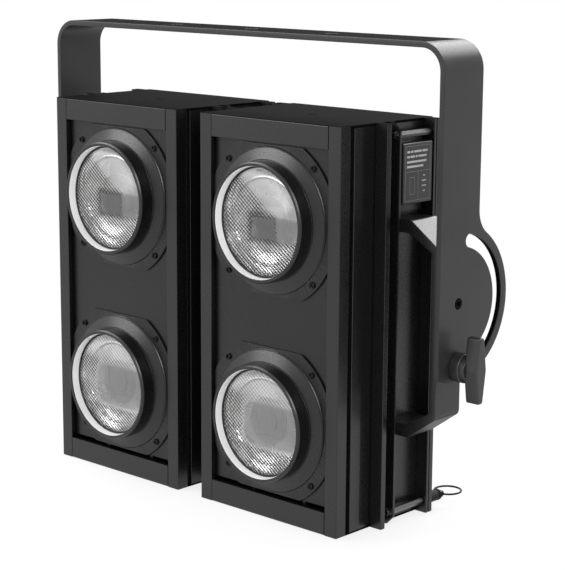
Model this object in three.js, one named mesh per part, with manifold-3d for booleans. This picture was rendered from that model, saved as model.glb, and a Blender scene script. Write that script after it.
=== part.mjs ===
// Audience blinder: two twin-lamp housings pinned side by side and hung in one tilting yoke.
// Millimetres. X runs across the front, Z is up, and the lamps shine towards -Y.
// Depths are counted from the front face of the housing posts, towards the back.
import * as THREE from "three";
import { mergeVertices } from "three/addons/utils/BufferGeometryUtils.js";
import Module from "manifold-3d";

const wasm = await Module();
wasm.setup();

// Fits
const seatGap = 0.3; // between a piece and what it rests on
const runGap = 0.5; // between a sliding or turning piece and its bore
const overrun = 3; // how far a cut runs past the face it opens

// Lamps; the housing is built around them
const coneRadius = 72.9;
const coneWidth = 13.7;
const coneStep = 1.6;
const coneRise = 5.1;
const tubeTaper = 1.2;
const snootProud = 17.6;
const rimWidth = 3;
const rimLip = 0.9;
const bezelFlat = 2.1; // from the cone to the flats of its plate
const bezelCorner = 12.1; // from the cone to the plate's round corners
const bezelGap = 50.8; // between two bezels
const linerLap = 1; // of the rim over the liner
const linerWall = 1.6;
const linerPlay = 1;
const screwInset = 6.3; // from the cone to the screws
const screwHole = 2.2;
const lensDepth = 10.3; // from the rim to the lens
const lensThick = 2.8;
const lensDome = 1.8;
const lensShelf = 3;
const reflectorDepth = 9;
const reflectorWall = 1.6;
const throatRadius = 24;
const boardWidth = 34;
const boardHeight = 30;
const boardThick = 2.3;
const emitterRadius = 11;
const emitterRise = 0.8;

// Housing
const conePost = 4.5; // from the cone to the posts
const bezelTopPlay = 1.2;
const bezelBottomPlay = 2.1;
const webSpacing = 34.6; // between the facing webs of the two housings
const sheet = 2; // covers and front panel

// Side extrusion, from front to back
const postWidth = 15.3;
const postDepth = 14;
const grooveWidth = 5;
const grooveSink = 4.5;
const sideProud = 0.8;
const sideFlat = 14;
const sideDishWidth = 17.5;
const sideDish = 1.6;
const finReach = 14.2;
const frontFin = 6.5;
const finSlot = 12;
const flange = 3;
const channel = 50;
const rearSlit = 1.2;
const rearSlitSink = 2;
const rearFin = 5.3;
const wall = 3;
const ledge = 7; // carries the front panel
const flangeCorner = 8.6;

// Front panel, bars and covers
const topBar = 22.7;
const bottomBar = 23.2;
const panelSink = 6;
const panelPlay = 1.5;
const drainSlot = 3.5; // gap between the panel and the bottom bar
const drainTab = 4;
const drainTabShares = [-0.25, 0.49]; // of half the module's width
const panelLap = 12; // hidden behind a bar
const coverSlotLong = 12;
const coverSlotWide = 3;
const coverSlotDepth = 64;

// Heatsink, power supply and fan
const sinkBase = 5;
const bossRadius = 26; // of the heatsink's boss under each lamp's board
const bossHeight = 15;
const sinkFin = 30;
const sinkFinThick = 1.8;
const sinkFins = 13;
const sinkInset = 30; // from the housing's top and bottom
const supplyWidth = 120;
const supplyHeight = 66;
const supplyBoard = 1.8;
const supplyPost = 6;
const postFins = 3; // the posts stand on the third fin to each side
const postRadius = 2.6;
const coilSize = 32;
const coilRise = 20;
const capRadius = 9;
const capRise = 22;
const chipSize = 14;
const chipRise = 9;
const fanRadius = 38.5;
const fanHub = 15;
const fanCup = 12; // depth of the hub
const fanWall = 2.5;
const fanBlades = 7;
const bladeThick = 1.8;
const bladeChord = 15;
const bladePitch = 35; // degrees
const fanShaft = 2.5;
const fanStator = 9;
const fanPlay = 1.5;
const fanStandoff = 9; // from the hub to the guard
const ductWall = 2.4;
const ductDepth = 32;
const guardBar = 2.6;
const guardRings = 3;

// Rear cover and its fittings
const rearLip = 2.7; // rim of the cover, in front of its plate
const rearPlate = 2.5;
const ventWidth = 62;
const ventHeight = 4;
const ventPitch = 10;
const ventRows = 5;
const ventInset = 44; // from the cover's end to the first vent
const displayDrop = 69; // of its middle below the housing's top
const displayWidth = 78;
const displayHeight = 46;
const displayPlate = 2.4;
const displayBody = 16;
const displayWindow = 18;
const displaySink = 0.8;
const buttonRadius = 3.2;
const buttonFlange = 1.1;
const buttonProud = 1.4;
const buttonTravel = 0.8;
const buttonEdge = 15; // from the panel's ends to the outer buttons
const buttonInset = 11; // from the panel's lower edge to the buttons
const socketPitch = 46;
const socketRise = 62; // of the sockets above the floor
const socketPlate = 30;
const socketThick = 2;
const socketRadius = 11.8;
const socketBore = 9.4;
const socketBody = 20;
const socketWell = 15;
const contactRadius = 1.2;
const contactCircle = 5;
const contactLength = 10;

// Pins that lock one housing to the next
const pinRadius = 3.4; // across the corners of the hexagon
const pinOffset = 8.2; // from the web
const pinInset = 12.6; // from the housing's top and bottom
const pinTip = 3.5; // in front of the front flange
const pinHeadRadius = 6;
const pinHead = 17;
const neckRadius = 3.4;
const neckLong = 6;
const ringWire = 1;
const ringRadius = 13.8;
const ringSides = 18;
const forkHeight = 16;
const forkPlate = 4;
const gripWidth = 15;
const gripDepth = 12;
const gripThick = 5;

// Plain plate in the right outer channel, between the bracket and the upper pin
const platePlay = 3; // from the channel's sides and the bracket
const platePinGap = 4.9; // from the upper pin
const plateFoot = 9.5;

// Yoke
const pivotLift = 29.7; // above the housing's middle
const yokeHeadroom = 72.2; // between the housings and the bar
const yokeThick = 5.8;
const yokeStrip = 59.8;
const yokeBend = 27.5;
const yokeLobe = 77;
const yokeFillet = 28;
const slotEdge = 9; // between the slot and the lobe's edge
const slotPlay = 1.5; // between the slot and the clamp's stud
const slotStart = -96; // degrees from the rear, counted upwards
const slotEnd = 75;
const hangPitch = 110;
const hangHole = 6.5;
const sideHangHole = 5.5;

// Brackets that carry the yoke
const bracketStrip = 39;
const bracketHeight = 215;
const bracketLeg = 8;
const bracketFoot = 13;
const bracketBack = 61; // from the web to the leg's outer face
const bracketShoulder = 27;
const bracketSlant = 24;
const bracketRound = 7;
const innerShoulder = 24;
const innerSlant = 16;
const padRadius = 13;
const padRise = 4.5; // from the bracket to the yoke
const pivotRadius = 5;
const pivotSocket = 2.9;
const pivotSocketDeep = 4;
const nutRadius = 8.6;
const nutThick = 6;

// Clamp knobs
const studRadius = 5;
const knobHub = 14.5;
const knobNeck = 11;
const knobHubLength = 11.5;
const knobNeckLength = 2.4;
const knobEase = 1.2; // of the hub's edges
const knobWing = 15;
const wingLength = 65;
const wingWidth = 16.6;
const wingTip = 7.4;

// Depths and places worked out from the sizes above
const bezelHalf = coneRadius + bezelFlat;
const lowerLamp = bottomBar + bezelBottomPlay + bezelHalf;
const upperLamp = lowerLamp + 2 * bezelHalf + bezelGap;
const lampHeights = [lowerLamp, upperLamp];
const moduleHeight = upperLamp + bezelHalf + bezelTopPlay + topBar;
const middle = moduleHeight / 2;
const postInner = coneRadius + conePost;
const half = postInner + postWidth; // of the housing's width over its webs
const moduleCentre = webSpacing / 2 + half;
const tubeRadius = coneRadius - coneWidth;
const rimRadius = tubeRadius - tubeTaper;
const linerBore = rimRadius - rimWidth - linerLap;
const lampBore = linerBore + linerWall + linerPlay;
const finDepth = postDepth + grooveWidth + sideFlat + sideDishWidth;
const flangeDepth = finDepth + frontFin + finSlot;
const channelDepth = flangeDepth + flange;
const rearFlangeDepth = channelDepth + channel;
const sideDepth = rearFlangeDepth + flange + rearSlit + rearFin;
const rearCoverDepth = sideDepth + seatGap;
const rearFace = rearCoverDepth + rearLip + rearPlate;
const panelHalf = postInner - panelPlay;
const bezelBack = panelSink - seatGap;
const bezelFront = bezelBack - sheet;
const lensFront = lensDepth - snootProud;
const lensBack = lensFront + lensThick;
const shelfDepth = lensBack + seatGap;
const throatDepth = shelfDepth + reflectorDepth;
const boardDepth = throatDepth + seatGap;
const bossDepth = boardDepth + boardThick + seatGap;
const sinkDepth = bossDepth + bossHeight;
const sinkHalf = half - wall - seatGap;
const fanMouth = fanRadius + fanPlay;
const fanDepth = rearFace - rearPlate - fanStandoff - fanCup;
const pinLevels = [pinInset, moduleHeight - pinInset];
const pinX = half + pinOffset;
const pinFront = flangeDepth - pinTip;
const bracketDepth = channelDepth + seatGap;
const bracketX = moduleCentre + half;
const bracketOuter = bracketX + bracketBack;
const pivotDepth = bracketDepth + bracketStrip / 2;
const pivotHeight = middle + pivotLift;
const slotRadius = yokeLobe - slotEdge - slotPlay - studRadius;
const clampHeight = pivotHeight - slotRadius;
const yokeFront = pivotDepth - yokeStrip / 2;
const yokeRear = pivotDepth + yokeStrip / 2;
const yokeInner = bracketOuter + padRise;
const yokeHalfWidth = yokeInner + yokeThick;
const yokeTop = moduleHeight + yokeHeadroom + yokeThick;

// Finishes
const finish = {
  coat: { color: 0x2b2b2d, roughness: 0.5, metalness: 0.2 },
  yoke: { color: 0x3a3a3c, roughness: 0.5, metalness: 0.2 },
  plastic: { color: 0x1a1a1b, roughness: 0.6, metalness: 0 },
  chrome: { color: 0xe6e6e8, roughness: 0.1, metalness: 1 },
  steel: { color: 0xb9babd, roughness: 0.35, metalness: 1 },
  glass: { color: 0xe8eef0, roughness: 0.1, metalness: 0 },
  ceramic: { color: 0xb9bab4, roughness: 0.6, metalness: 0 },
  aluminium: { color: 0xa9abae, roughness: 0.45, metalness: 1 },
  board: { color: 0x2f5b3a, roughness: 0.6, metalness: 0 },
};

// A solid from a closed geometry
function solid(geometry) {
  geometry.deleteAttribute("normal");
  geometry.deleteAttribute("uv");
  const merged = mergeVertices(geometry);
  return new wasm.Manifold(
    new wasm.Mesh({
      numProp: 3,
      vertProperties: merged.attributes.position.array,
      triVerts: new Uint32Array(merged.index.array),
    }),
  );
}

function mesh(name, shape, look) {
  const made = shape.getMesh();
  const geometry = new THREE.BufferGeometry();
  geometry.setAttribute("position", new THREE.BufferAttribute(new Float32Array(made.vertProperties), 3));
  geometry.setIndex(new THREE.BufferAttribute(new Uint32Array(made.triVerts), 1));
  geometry.computeVertexNormals();
  const piece = new THREE.Mesh(geometry, new THREE.MeshStandardMaterial(look));
  piece.name = name;
  return piece;
}

const point = (x, y) => new THREE.Vector2(x, y);
const unit = (x, y, z) => new THREE.Vector3(x, y, z);
const radians = THREE.MathUtils.degToRad;
const axes = {
  x: new THREE.Matrix4().makeBasis(unit(0, 1, 0), unit(0, 0, 1), unit(1, 0, 0)), // outline in y and z
  y: new THREE.Matrix4().makeBasis(unit(0, 0, 1), unit(1, 0, 0), unit(0, 1, 0)), // outline in z and x
  z: new THREE.Matrix4(), // outline in x and y
};

// A block between two corners
function block(x0, x1, y0, y1, z0, z1) {
  const geometry = new THREE.BoxGeometry(x1 - x0, y1 - y0, z1 - z0);
  return solid(geometry.translate((x0 + x1) / 2, (y0 + y1) / 2, (z0 + z1) / 2));
}

// An outline carried along an axis; holes are further outlines
function prism(outline, axis, from, to, holes = []) {
  const shape = new THREE.Shape(outline);
  for (const hole of holes) shape.holes.push(new THREE.Path(hole));
  const geometry = new THREE.ExtrudeGeometry(shape, { depth: to - from, bevelEnabled: false });
  return solid(geometry.translate(0, 0, from).applyMatrix4(axes[axis]));
}

// Points of an arc, both ends included
function arc(x, y, radius, from, to, steps) {
  const points = [];
  for (let i = 0; i <= steps; i++) {
    const a = radians(from + ((to - from) * i) / steps);
    points.push(point(x + radius * Math.cos(a), y + radius * Math.sin(a)));
  }
  return points;
}

const circle = (x, y, radius, steps) => arc(x, y, radius, 0, 360, steps).slice(0, -1);

// A polygon of [x, y, corner radius] with its corners rounded
function rounded(corners, steps = 2) {
  const points = [];
  corners.forEach(([x, y, radius], i) => {
    const corner = point(x, y);
    if (!radius) {
      points.push(corner);
      return;
    }
    const before = corners[(i + corners.length - 1) % corners.length];
    const after = corners[(i + 1) % corners.length];
    const back = point(before[0] - x, before[1] - y).normalize();
    const on = point(after[0] - x, after[1] - y).normalize();
    const turn = Math.acos(THREE.MathUtils.clamp(back.dot(on), -1, 1)) / 2;
    const centre = back.clone().add(on).normalize().multiplyScalar(radius / Math.sin(turn)).add(corner);
    const start = corner.clone().addScaledVector(back, radius / Math.tan(turn)).sub(centre);
    const end = corner.clone().addScaledVector(on, radius / Math.tan(turn)).sub(centre);
    const sweep = Math.atan2(start.cross(end), start.dot(end));
    for (let k = 0; k <= steps; k++)
      points.push(start.clone().rotateAround(point(0, 0), (sweep * k) / steps).add(centre));
  });
  return points;
}

// A closed or axis-to-axis profile of [radius, place] turned round an axis
function turned(profile, axis, segments = 32) {
  const points = profile.map(([radius, place]) => point(radius, place));
  if (THREE.ShapeUtils.area(points) < 0) points.reverse();
  const geometry = new THREE.LatheGeometry(points, segments);
  const standing = new THREE.Matrix4().makeRotationX(Math.PI / 2);
  return solid(geometry.applyMatrix4(standing).applyMatrix4(axes[axis]));
}

function rod(radius, axis, from, to, segments = 16) {
  return turned([[0, from], [radius, from], [radius, to], [0, to]], axis, segments);
}

const joined = (...shapes) => shapes.reduce((all, shape) => all.add(shape));

// Side extrusion: post, groove, side panel, cooling fin and the bolting channel
function sideProfile() {
  const tip = half + finReach;
  const groove = half - grooveSink;
  const proud = half + sideProud;
  const dished = proud - sideDish;
  const panelFrom = postDepth + grooveWidth;
  const flangeEnd = rearFlangeDepth + flange;
  const seat = panelSink + sheet + seatGap;
  return [
    [postInner, 0],
    [half, 0],
    [half, postDepth],
    [groove, postDepth],
    [groove, panelFrom],
    [proud, panelFrom],
    [proud, panelFrom + sideFlat],
    [dished, finDepth],
    [tip, finDepth],
    [tip, finDepth + frontFin],
    [half, finDepth + frontFin],
    [half, flangeDepth],
    [tip, flangeDepth],
    [tip, channelDepth],
    [half, channelDepth],
    [half, rearFlangeDepth],
    [tip, rearFlangeDepth],
    [tip, flangeEnd],
    [tip - rearSlitSink, flangeEnd],
    [tip - rearSlitSink, flangeEnd + rearSlit],
    [tip, flangeEnd + rearSlit],
    [tip, sideDepth],
    [half - wall, sideDepth],
    [half - wall, panelFrom + wall],
    [groove - wall, panelFrom + wall],
    [groove - wall, postDepth],
    [postInner, postDepth],
    [postInner, seat + wall],
    [postInner - ledge, seat + wall],
    [postInner - ledge, seat],
    [postInner, seat],
  ];
}

function sideExtrusion(side) {
  const outline = sideProfile().map(([u, depth]) => point(side * u, depth));
  let shape = prism(outline, "z", 0, moduleHeight);
  const lid = sheet + seatGap;
  const spanned = (a, b) => [side * a, side * b].sort((first, second) => first - second);
  const behind = spanned(postInner - ledge - overrun, half + sideProud + seatGap);
  const beside = spanned(postInner - ledge - overrun, postInner);
  for (const [low, high] of [[-overrun, lid], [moduleHeight - lid, moduleHeight + overrun]]) {
    shape = shape.subtract(block(...behind, postDepth, sideDepth + overrun, low, high));
    shape = shape.subtract(block(...beside, 0, postDepth, low, high));
  }
  const tip = half + finReach;
  for (const [level, way] of [[0, -1], [moduleHeight, 1]]) {
    const corner = [
      point(level - way * flangeCorner, side * (tip + overrun)),
      point(level - way * flangeCorner, side * tip),
      point(level, side * (tip - flangeCorner)),
      point(level + way * overrun, side * (tip - flangeCorner)),
      point(level + way * overrun, side * (tip + overrun)),
    ];
    shape = shape.subtract(prism(corner, "y", flangeDepth - seatGap, channelDepth + seatGap));
  }
  for (const level of pinLevels) {
    const bore = rod(pinRadius + runGap, "y", flangeDepth - overrun, sideDepth + overrun, 8);
    shape = shape.subtract(bore.translate([side * pinX, 0, level]));
  }
  return shape;
}

// Top cover: its sheet, with the bar between the posts bent down in front
function cover(top) {
  const edge = postInner - seatGap;
  const bar = top ? topBar : bottomBar;
  const sheetFrom = top ? moduleHeight - sheet : 0;
  const barFrom = top ? moduleHeight - bar : 0;
  const shape = joined(
    block(-half, half, postDepth + seatGap, rearFace, sheetFrom, sheetFrom + sheet),
    block(-edge, edge, 0, postDepth + 2 * seatGap, sheetFrom, sheetFrom + sheet),
    block(-edge, edge, 0, panelSink - seatGap, barFrom, barFrom + bar),
  );
  if (!top) return shape;
  const across = coverSlotLong / 2;
  const slotTo = coverSlotDepth + coverSlotWide;
  const slot = block(-across, across, coverSlotDepth, slotTo, sheetFrom - overrun, moduleHeight + overrun);
  return shape.subtract(slot);
}

// Front panel with its two lamp holes and the tabs that bridge the drain slot
function frontPanel() {
  const bottom = bottomBar + drainSlot;
  const top = moduleHeight - topBar + panelLap;
  const back = panelSink + sheet;
  let shape = block(-panelHalf, panelHalf, panelSink, back, bottom, top);
  for (const height of lampHeights) {
    const hole = rod(lampBore, "y", panelSink - overrun, back + overrun, 24);
    shape = shape.subtract(hole.translate([0, 0, height]));
  }
  for (const share of drainTabShares) {
    const x = share * half;
    const low = bottomBar - panelLap;
    shape = shape.add(block(x - drainTab / 2, x + drainTab / 2, panelSink, back, low, bottom + sheet));
  }
  return shape;
}

// Lamp bezel: clipped round plate, cone and short tube with its rim; every lamp piece is made at height zero
function bezel() {
  const outline = circle(0, 0, coneRadius + bezelCorner, 36).map((p) => {
    const x = THREE.MathUtils.clamp(p.x, -bezelHalf, bezelHalf);
    const y = THREE.MathUtils.clamp(p.y, -(postInner - runGap), postInner - runGap);
    return point(x, y);
  });
  const plate = prism(outline, "y", bezelFront, bezelBack, [circle(0, 0, tubeRadius, 24)]);
  const rim = -snootProud;
  const profile = [
    [lampBore, bezelBack],
    [coneRadius, bezelBack],
    [coneRadius, bezelFront - coneStep / 2],
    [coneRadius - coneStep, bezelFront - coneStep],
    [tubeRadius, bezelFront - coneRise],
    [tubeRadius, rim + coneStep],
    [rimRadius, rim],
    [rimRadius - rimWidth, rim],
    [rimRadius - rimWidth, rim + rimLip],
    [lampBore, rim + rimLip],
    [lampBore, bezelBack],
  ];
  let shape = plate.add(turned(profile, "y", 24));
  for (const angle of [45, 135, 225, 315]) {
    const a = radians(angle);
    const hole = rod(screwHole, "y", bezelFront - overrun, bezelBack + overrun, 6);
    const out = coneRadius + screwInset;
    shape = shape.subtract(hole.translate([out * Math.cos(a), 0, out * Math.sin(a)]));
  }
  return shape;
}

// Patterned glass, slightly domed to the front
function lens() {
  const radius = linerBore - runGap;
  const domeShares = [[0, 1], [0.5, 0.75], [1, 0]]; // of the radius and of the dome
  const front = domeShares.map(([r, rise]) => [radius * r, lensFront - lensDome * rise]);
  return turned([...front, [radius, lensBack], [0, lensBack]], "y", 20);
}

// Polished liner and reflector: one bright can from the rim to the shallow dish round the emitter
function reflector() {
  const front = rimLip + seatGap - snootProud;
  const outer = linerBore + linerWall;
  const shelf = linerBore - lensShelf;
  const dishShares = [0, 0.2, 0.5, 1];
  const dish = (back) =>
    dishShares.map((share) => {
      const radius = throatRadius + (shelf - throatRadius) * Math.sqrt(1 - share);
      return [radius, shelfDepth + reflectorDepth * share + back];
    });
  const inside = dish(0);
  const outside = dish(reflectorWall).slice(1).reverse();
  const ring = [[outer, shelfDepth + reflectorWall], [outer, front], [linerBore, front]];
  return turned([...inside, ...outside, ...ring, [linerBore, shelfDepth], inside[0]], "y", 20);
}

// Light source: a round emitter on its ceramic board
function emitter() {
  const across = boardWidth / 2;
  const tall = boardHeight / 2;
  const board = block(-across, across, boardDepth, boardDepth + boardThick, -tall, tall);
  return board.add(rod(emitterRadius, "y", boardDepth - emitterRise, boardDepth + boardThick / 2, 14));
}

const finPitch = () => (2 * sinkHalf - sinkFinThick * 3) / (sinkFins - 1);

// Finned plate with a boss that carries each lamp's board
function heatsink() {
  const finFrom = sinkDepth + sinkBase;
  const corners = [point(-sinkHalf, sinkDepth), point(sinkHalf, sinkDepth), point(sinkHalf, finFrom)];
  for (let i = sinkFins - 1; i >= 0; i--) {
    const x = (i - (sinkFins - 1) / 2) * finPitch();
    corners.push(point(x + sinkFinThick / 2, finFrom), point(x + sinkFinThick / 2, finFrom + sinkFin));
    corners.push(point(x - sinkFinThick / 2, finFrom + sinkFin), point(x - sinkFinThick / 2, finFrom));
  }
  corners.push(point(-sinkHalf, finFrom));
  let shape = prism(corners, "z", sinkInset, moduleHeight - sinkInset);
  for (const height of lampHeights) {
    const boss = rod(bossRadius, "y", bossDepth, sinkDepth + sinkBase / 2, 16);
    shape = shape.add(boss.translate([0, 0, height]));
  }
  return shape;
}

// Power supply: a board on four posts behind the fins, with its coil, capacitors and chips
function powerSupply() {
  const postFrom = sinkDepth + sinkBase + sinkFin + seatGap;
  const front = postFrom + supplyPost;
  const back = front + supplyBoard;
  const halfWidth = supplyWidth / 2;
  const halfHeight = supplyHeight / 2;
  const lap = supplyBoard / 2;
  let shape = block(-halfWidth, halfWidth, front, back, -halfHeight, halfHeight);
  for (const x of [-1, 1])
    for (const z of [-1, 1]) {
      const post = rod(postRadius, "y", postFrom, front + lap, 8);
      shape = shape.add(post.translate([x * postFins * finPitch(), 0, z * (halfHeight - postRadius * 2)]));
    }
  const coil = block(-coilSize / 2, coilSize / 2, back - lap, back + coilRise, -coilSize / 2, coilSize / 2);
  shape = shape.add(coil.translate([-halfWidth / 2, 0, 0]));
  for (const z of [-1, 1]) {
    const can = rod(capRadius, "y", back - lap, back + capRise, 12);
    shape = shape.add(can.translate([halfWidth / 4, 0, (z * halfHeight) / 2]));
    const edge = chipSize / 2;
    const chip = block(-edge, edge, back - lap, back + chipRise, -edge, edge);
    shape = shape.add(chip.translate([(halfWidth * 3) / 4, 0, (z * halfHeight) / 2]));
  }
  return shape.translate([0, 0, middle]);
}

function fanRotor() {
  const bore = fanShaft + runGap;
  const hubFront = fanDepth;
  const hubBack = fanDepth + fanCup;
  const profile = [
    [bore, hubFront],
    [fanHub, hubFront],
    [fanHub, hubBack],
    [fanHub - fanWall, hubBack],
    [fanHub - fanWall, hubFront + fanWall],
    [bore, hubFront + fanWall],
    [bore, hubFront],
  ];
  let shape = turned(profile, "y", 14);
  const bladeFrom = fanHub - fanWall / 2;
  const thick = bladeThick / 2;
  const chord = bladeChord / 2;
  for (let i = 0; i < fanBlades; i++) {
    const blade = block(-thick, thick, -chord, chord, bladeFrom, fanRadius);
    const pitched = blade.rotate([0, 0, bladePitch]).translate([0, hubFront + fanCup / 2, 0]);
    shape = shape.add(pitched.rotate([0, (360 * i) / fanBlades, 0]));
  }
  return shape.translate([0, 0, middle]);
}

// Rear cover: a shallow tray with the fan's duct, guard and spindle, and vents or cut-outs for its fittings
function rearCover(fitted) {
  const low = sheet + seatGap;
  const high = moduleHeight - low;
  const plateFrom = rearFace - rearPlate;
  const hollow = half - wall;
  const inside = block(-hollow, hollow, rearCoverDepth - overrun, plateFrom, low + wall, high - wall);
  const mouth = rod(fanMouth, "y", 0, rearFace + overrun, 20).translate([0, 0, middle]);
  let shape = block(-half, half, rearCoverDepth, rearFace, low, high).subtract(inside);
  shape = shape.add(fanDuct()).subtract(mouth).add(fanGuard(plateFrom));
  if (!fitted) return vented(shape);
  const bodyHalf = displayWidth / 2 - wall * 2;
  const bodyTall = displayHeight / 2 - wall;
  const window = block(-bodyHalf, bodyHalf, plateFrom - overrun, rearFace + overrun, -bodyTall, bodyTall);
  shape = shape.subtract(window.translate([0, 0, displayLevel]));
  for (const x of socketPlaces()) {
    const hole = rod(socketRadius + runGap, "y", plateFrom - overrun, rearFace + overrun, 14);
    shape = shape.subtract(hole.translate([x, 0, socketRise]));
  }
  return shape;
}

const displayLevel = moduleHeight - displayDrop;
const socketPlaces = () => [-socketPitch, 0, socketPitch];

// Rows of vents near both ends of the cover
function vented(shape) {
  const from = rearFace - rearPlate - overrun;
  const across = ventWidth / 2;
  const tall = ventHeight / 2;
  for (let i = 0; i < ventRows; i++) {
    const row = ventInset + i * ventPitch;
    for (const height of [row, moduleHeight - row]) {
      const vent = block(-across, across, from, rearFace + overrun, height - tall, height + tall);
      shape = shape.subtract(vent);
    }
  }
  return shape;
}

function fanDuct() {
  const duct = rod(fanMouth + ductWall, "y", rearFace - ductDepth, rearFace - rearPlate / 2, 20);
  return duct.translate([0, 0, middle]);
}

// Guard rings and cross bars over the fan, with the stator and spindle on their middle
function fanGuard(plateFrom) {
  let shape = rod(fanStator + guardBar / 2, "y", plateFrom, rearFace, 14);
  for (let i = 1; i < guardRings; i++) {
    const inner = fanStator + ((fanMouth - fanStator) * i) / guardRings;
    const outer = inner + guardBar;
    const front = [[inner, plateFrom], [outer, plateFrom]];
    const back = [[outer, rearFace], [inner, rearFace]];
    shape = shape.add(turned([...front, ...back, front[0]], "y", 16));
  }
  const reach = fanMouth + ductWall / 2;
  for (const turn of [45, 135]) {
    const bar = block(-reach, reach, plateFrom, rearFace, -guardBar / 2, guardBar / 2);
    shape = shape.add(bar.rotate([0, turn, 0]));
  }
  const stator = rod(fanStator, "y", fanDepth + fanShaft + runGap * 2, plateFrom + rearPlate / 2, 10);
  const spindle = rod(fanShaft, "y", fanDepth + runGap, plateFrom, 8);
  return joined(shape, stator, spindle).translate([0, 0, middle]);
}

// Control panel: face plate with a sunk window, and a body behind it with a well for each button
function controlPanel() {
  const plateFrom = rearFace + seatGap;
  const plateTo = plateFrom + displayPlate;
  const halfWidth = displayWidth / 2;
  const halfTall = displayHeight / 2;
  const bodyHalf = halfWidth - wall * 2 - runGap;
  const bodyTall = halfTall - wall - runGap;
  let shape = joined(
    block(-halfWidth, halfWidth, plateFrom, plateTo, -halfTall, halfTall),
    block(-bodyHalf, bodyHalf, rearFace - displayBody, plateFrom + displayPlate / 2, -bodyTall, bodyTall),
  );
  const windowHalf = bodyHalf - wall;
  const windowLow = halfTall - wall - displayWindow;
  const sunk = plateTo - displaySink;
  shape = shape.subtract(
    block(-windowHalf, windowHalf, sunk, plateTo + overrun, windowLow, windowLow + displayWindow),
  );
  for (const x of buttonPlaces()) shape = shape.subtract(buttonWell(x));
  return shape;
}

const buttonShares = [-1, -1 / 3, 1 / 3, 1]; // of the way from the middle to the outer buttons
const buttonPlaces = () => buttonShares.map((share) => share * (displayWidth / 2 - buttonEdge));
const buttonLevel = buttonInset - displayHeight / 2;
const buttonTop = () => rearFace + seatGap + displayPlate + buttonProud;
const buttonSeat = () => rearFace + seatGap + displayPlate - wall / 2;

// The well is wide behind the face plate, so that the button's flange can't come out
function buttonWell(x) {
  const neck = rod(buttonRadius + seatGap, "y", buttonSeat() - overrun, buttonTop() + overrun, 8);
  const floor = buttonSeat() - wall - buttonTravel - runGap;
  const wide = rod(buttonRadius + buttonFlange + seatGap, "y", floor, buttonSeat(), 8);
  return neck.add(wide).translate([x, 0, buttonLevel]);
}

function button() {
  const flangeTo = buttonSeat() - seatGap;
  const flangeFrom = flangeTo - wall + seatGap;
  const cap = rod(buttonRadius, "y", flangeFrom, buttonTop(), 8);
  return cap.add(rod(buttonRadius + buttonFlange, "y", flangeFrom, flangeTo, 8));
}

// Chassis socket: square plate, round body with a well, and its contacts
function socket(pins, twist) {
  const plateFrom = rearFace + seatGap;
  const plateTo = plateFrom + socketThick;
  const bodyFrom = rearFace - socketBody;
  const edge = socketPlate / 2;
  let shape = joined(
    block(-edge, edge, plateFrom, plateTo, -edge, edge),
    rod(socketRadius, "y", bodyFrom, plateFrom + socketThick / 2, 14),
  );
  const wellFrom = plateTo - socketWell;
  shape = shape.subtract(rod(socketBore, "y", wellFrom, plateTo + overrun, 14));
  for (let i = 0; i < pins; i++) {
    const a = radians(twist + (360 * i) / pins);
    const contact = rod(contactRadius, "y", wellFrom - contactRadius, wellFrom + contactLength, 6);
    shape = shape.add(contact.translate([contactCircle * Math.cos(a), 0, contactCircle * Math.sin(a)]));
  }
  return shape;
}

// Hexagonal locking pin with its long round head and the cross-bored neck that carries the pull ring
function lockingPin() {
  const headFrom = sideDepth + seatGap;
  const headTo = headFrom + pinHead;
  const shape = joined(
    rod(pinRadius, "y", pinFront, headFrom + pinHead / 2, 6),
    rod(pinHeadRadius, "y", headFrom, headTo, 10),
    rod(neckRadius, "y", headTo - ringWire, headTo + neckLong, 10),
  );
  const eye = rod(ringWire + 2 * runGap, "x", -pinHeadRadius, pinHeadRadius, 8);
  return shape.subtract(eye.translate([0, eyeDepth(), 0]));
}

const eyeDepth = () => sideDepth + seatGap + pinHead + neckLong / 2;

// Pull ring, lying level behind the pin with its near side through the neck
function pullRing() {
  const geometry = new THREE.TorusGeometry(ringRadius, ringWire, 6, ringSides);
  const cornerBack = 180 / ringSides;
  return solid(geometry).rotate([0, 0, cornerBack]).translate([0, eyeDepth() + ringRadius, 0]);
}

const ringEnd = () => eyeDepth() + 2 * ringRadius + ringWire;

// Joining fork: two pins on one plate, with a grip to pull it out
function joiningFork() {
  const plateFrom = sideDepth + seatGap;
  const plateTo = plateFrom + forkPlate;
  const pinHalf = webSpacing / 2 - pinOffset;
  const edge = pinHalf + pinHeadRadius;
  const tall = forkHeight / 2;
  const corner = pinHeadRadius / 2;
  const outline = rounded([
    [-tall, -edge, corner],
    [tall, -edge, corner],
    [tall, edge, corner],
    [-tall, edge, corner],
  ]);
  let shape = prism(outline, "y", plateFrom, plateTo);
  for (const side of [-1, 1]) {
    const pin = rod(pinRadius, "y", pinFront, plateTo - forkPlate / 2, 6);
    shape = shape.add(pin.translate([side * pinHalf, 0, 0]));
  }
  const across = gripWidth / 2;
  const thick = gripThick / 2;
  return shape.add(block(-across, across, plateTo - forkPlate / 2, plateTo + gripDepth, -thick, thick));
}

// Plain plate over the outer channel, on two bent legs with screwed feet
function channelPlate() {
  const face = half + finReach;
  const web = half + seatGap;
  const from = channelDepth + platePlay;
  const to = rearFlangeDepth - platePlay;
  const low = middle + bracketHeight / 2 + platePlay + plateFoot;
  const high = moduleHeight - pinInset - pinRadius - platePinGap;
  return joined(
    block(face - sheet, face, from, to, low, high),
    block(web, face - sheet / 2, from, to, low, low + sheet),
    block(web, face - sheet / 2, from, to, high - sheet, high),
    block(web, web + sheet, from, to, low - plateFoot, low + sheet / 2),
    block(web, web + sheet, from, to, high - sheet / 2, high + plateFoot),
  );
}

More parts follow.
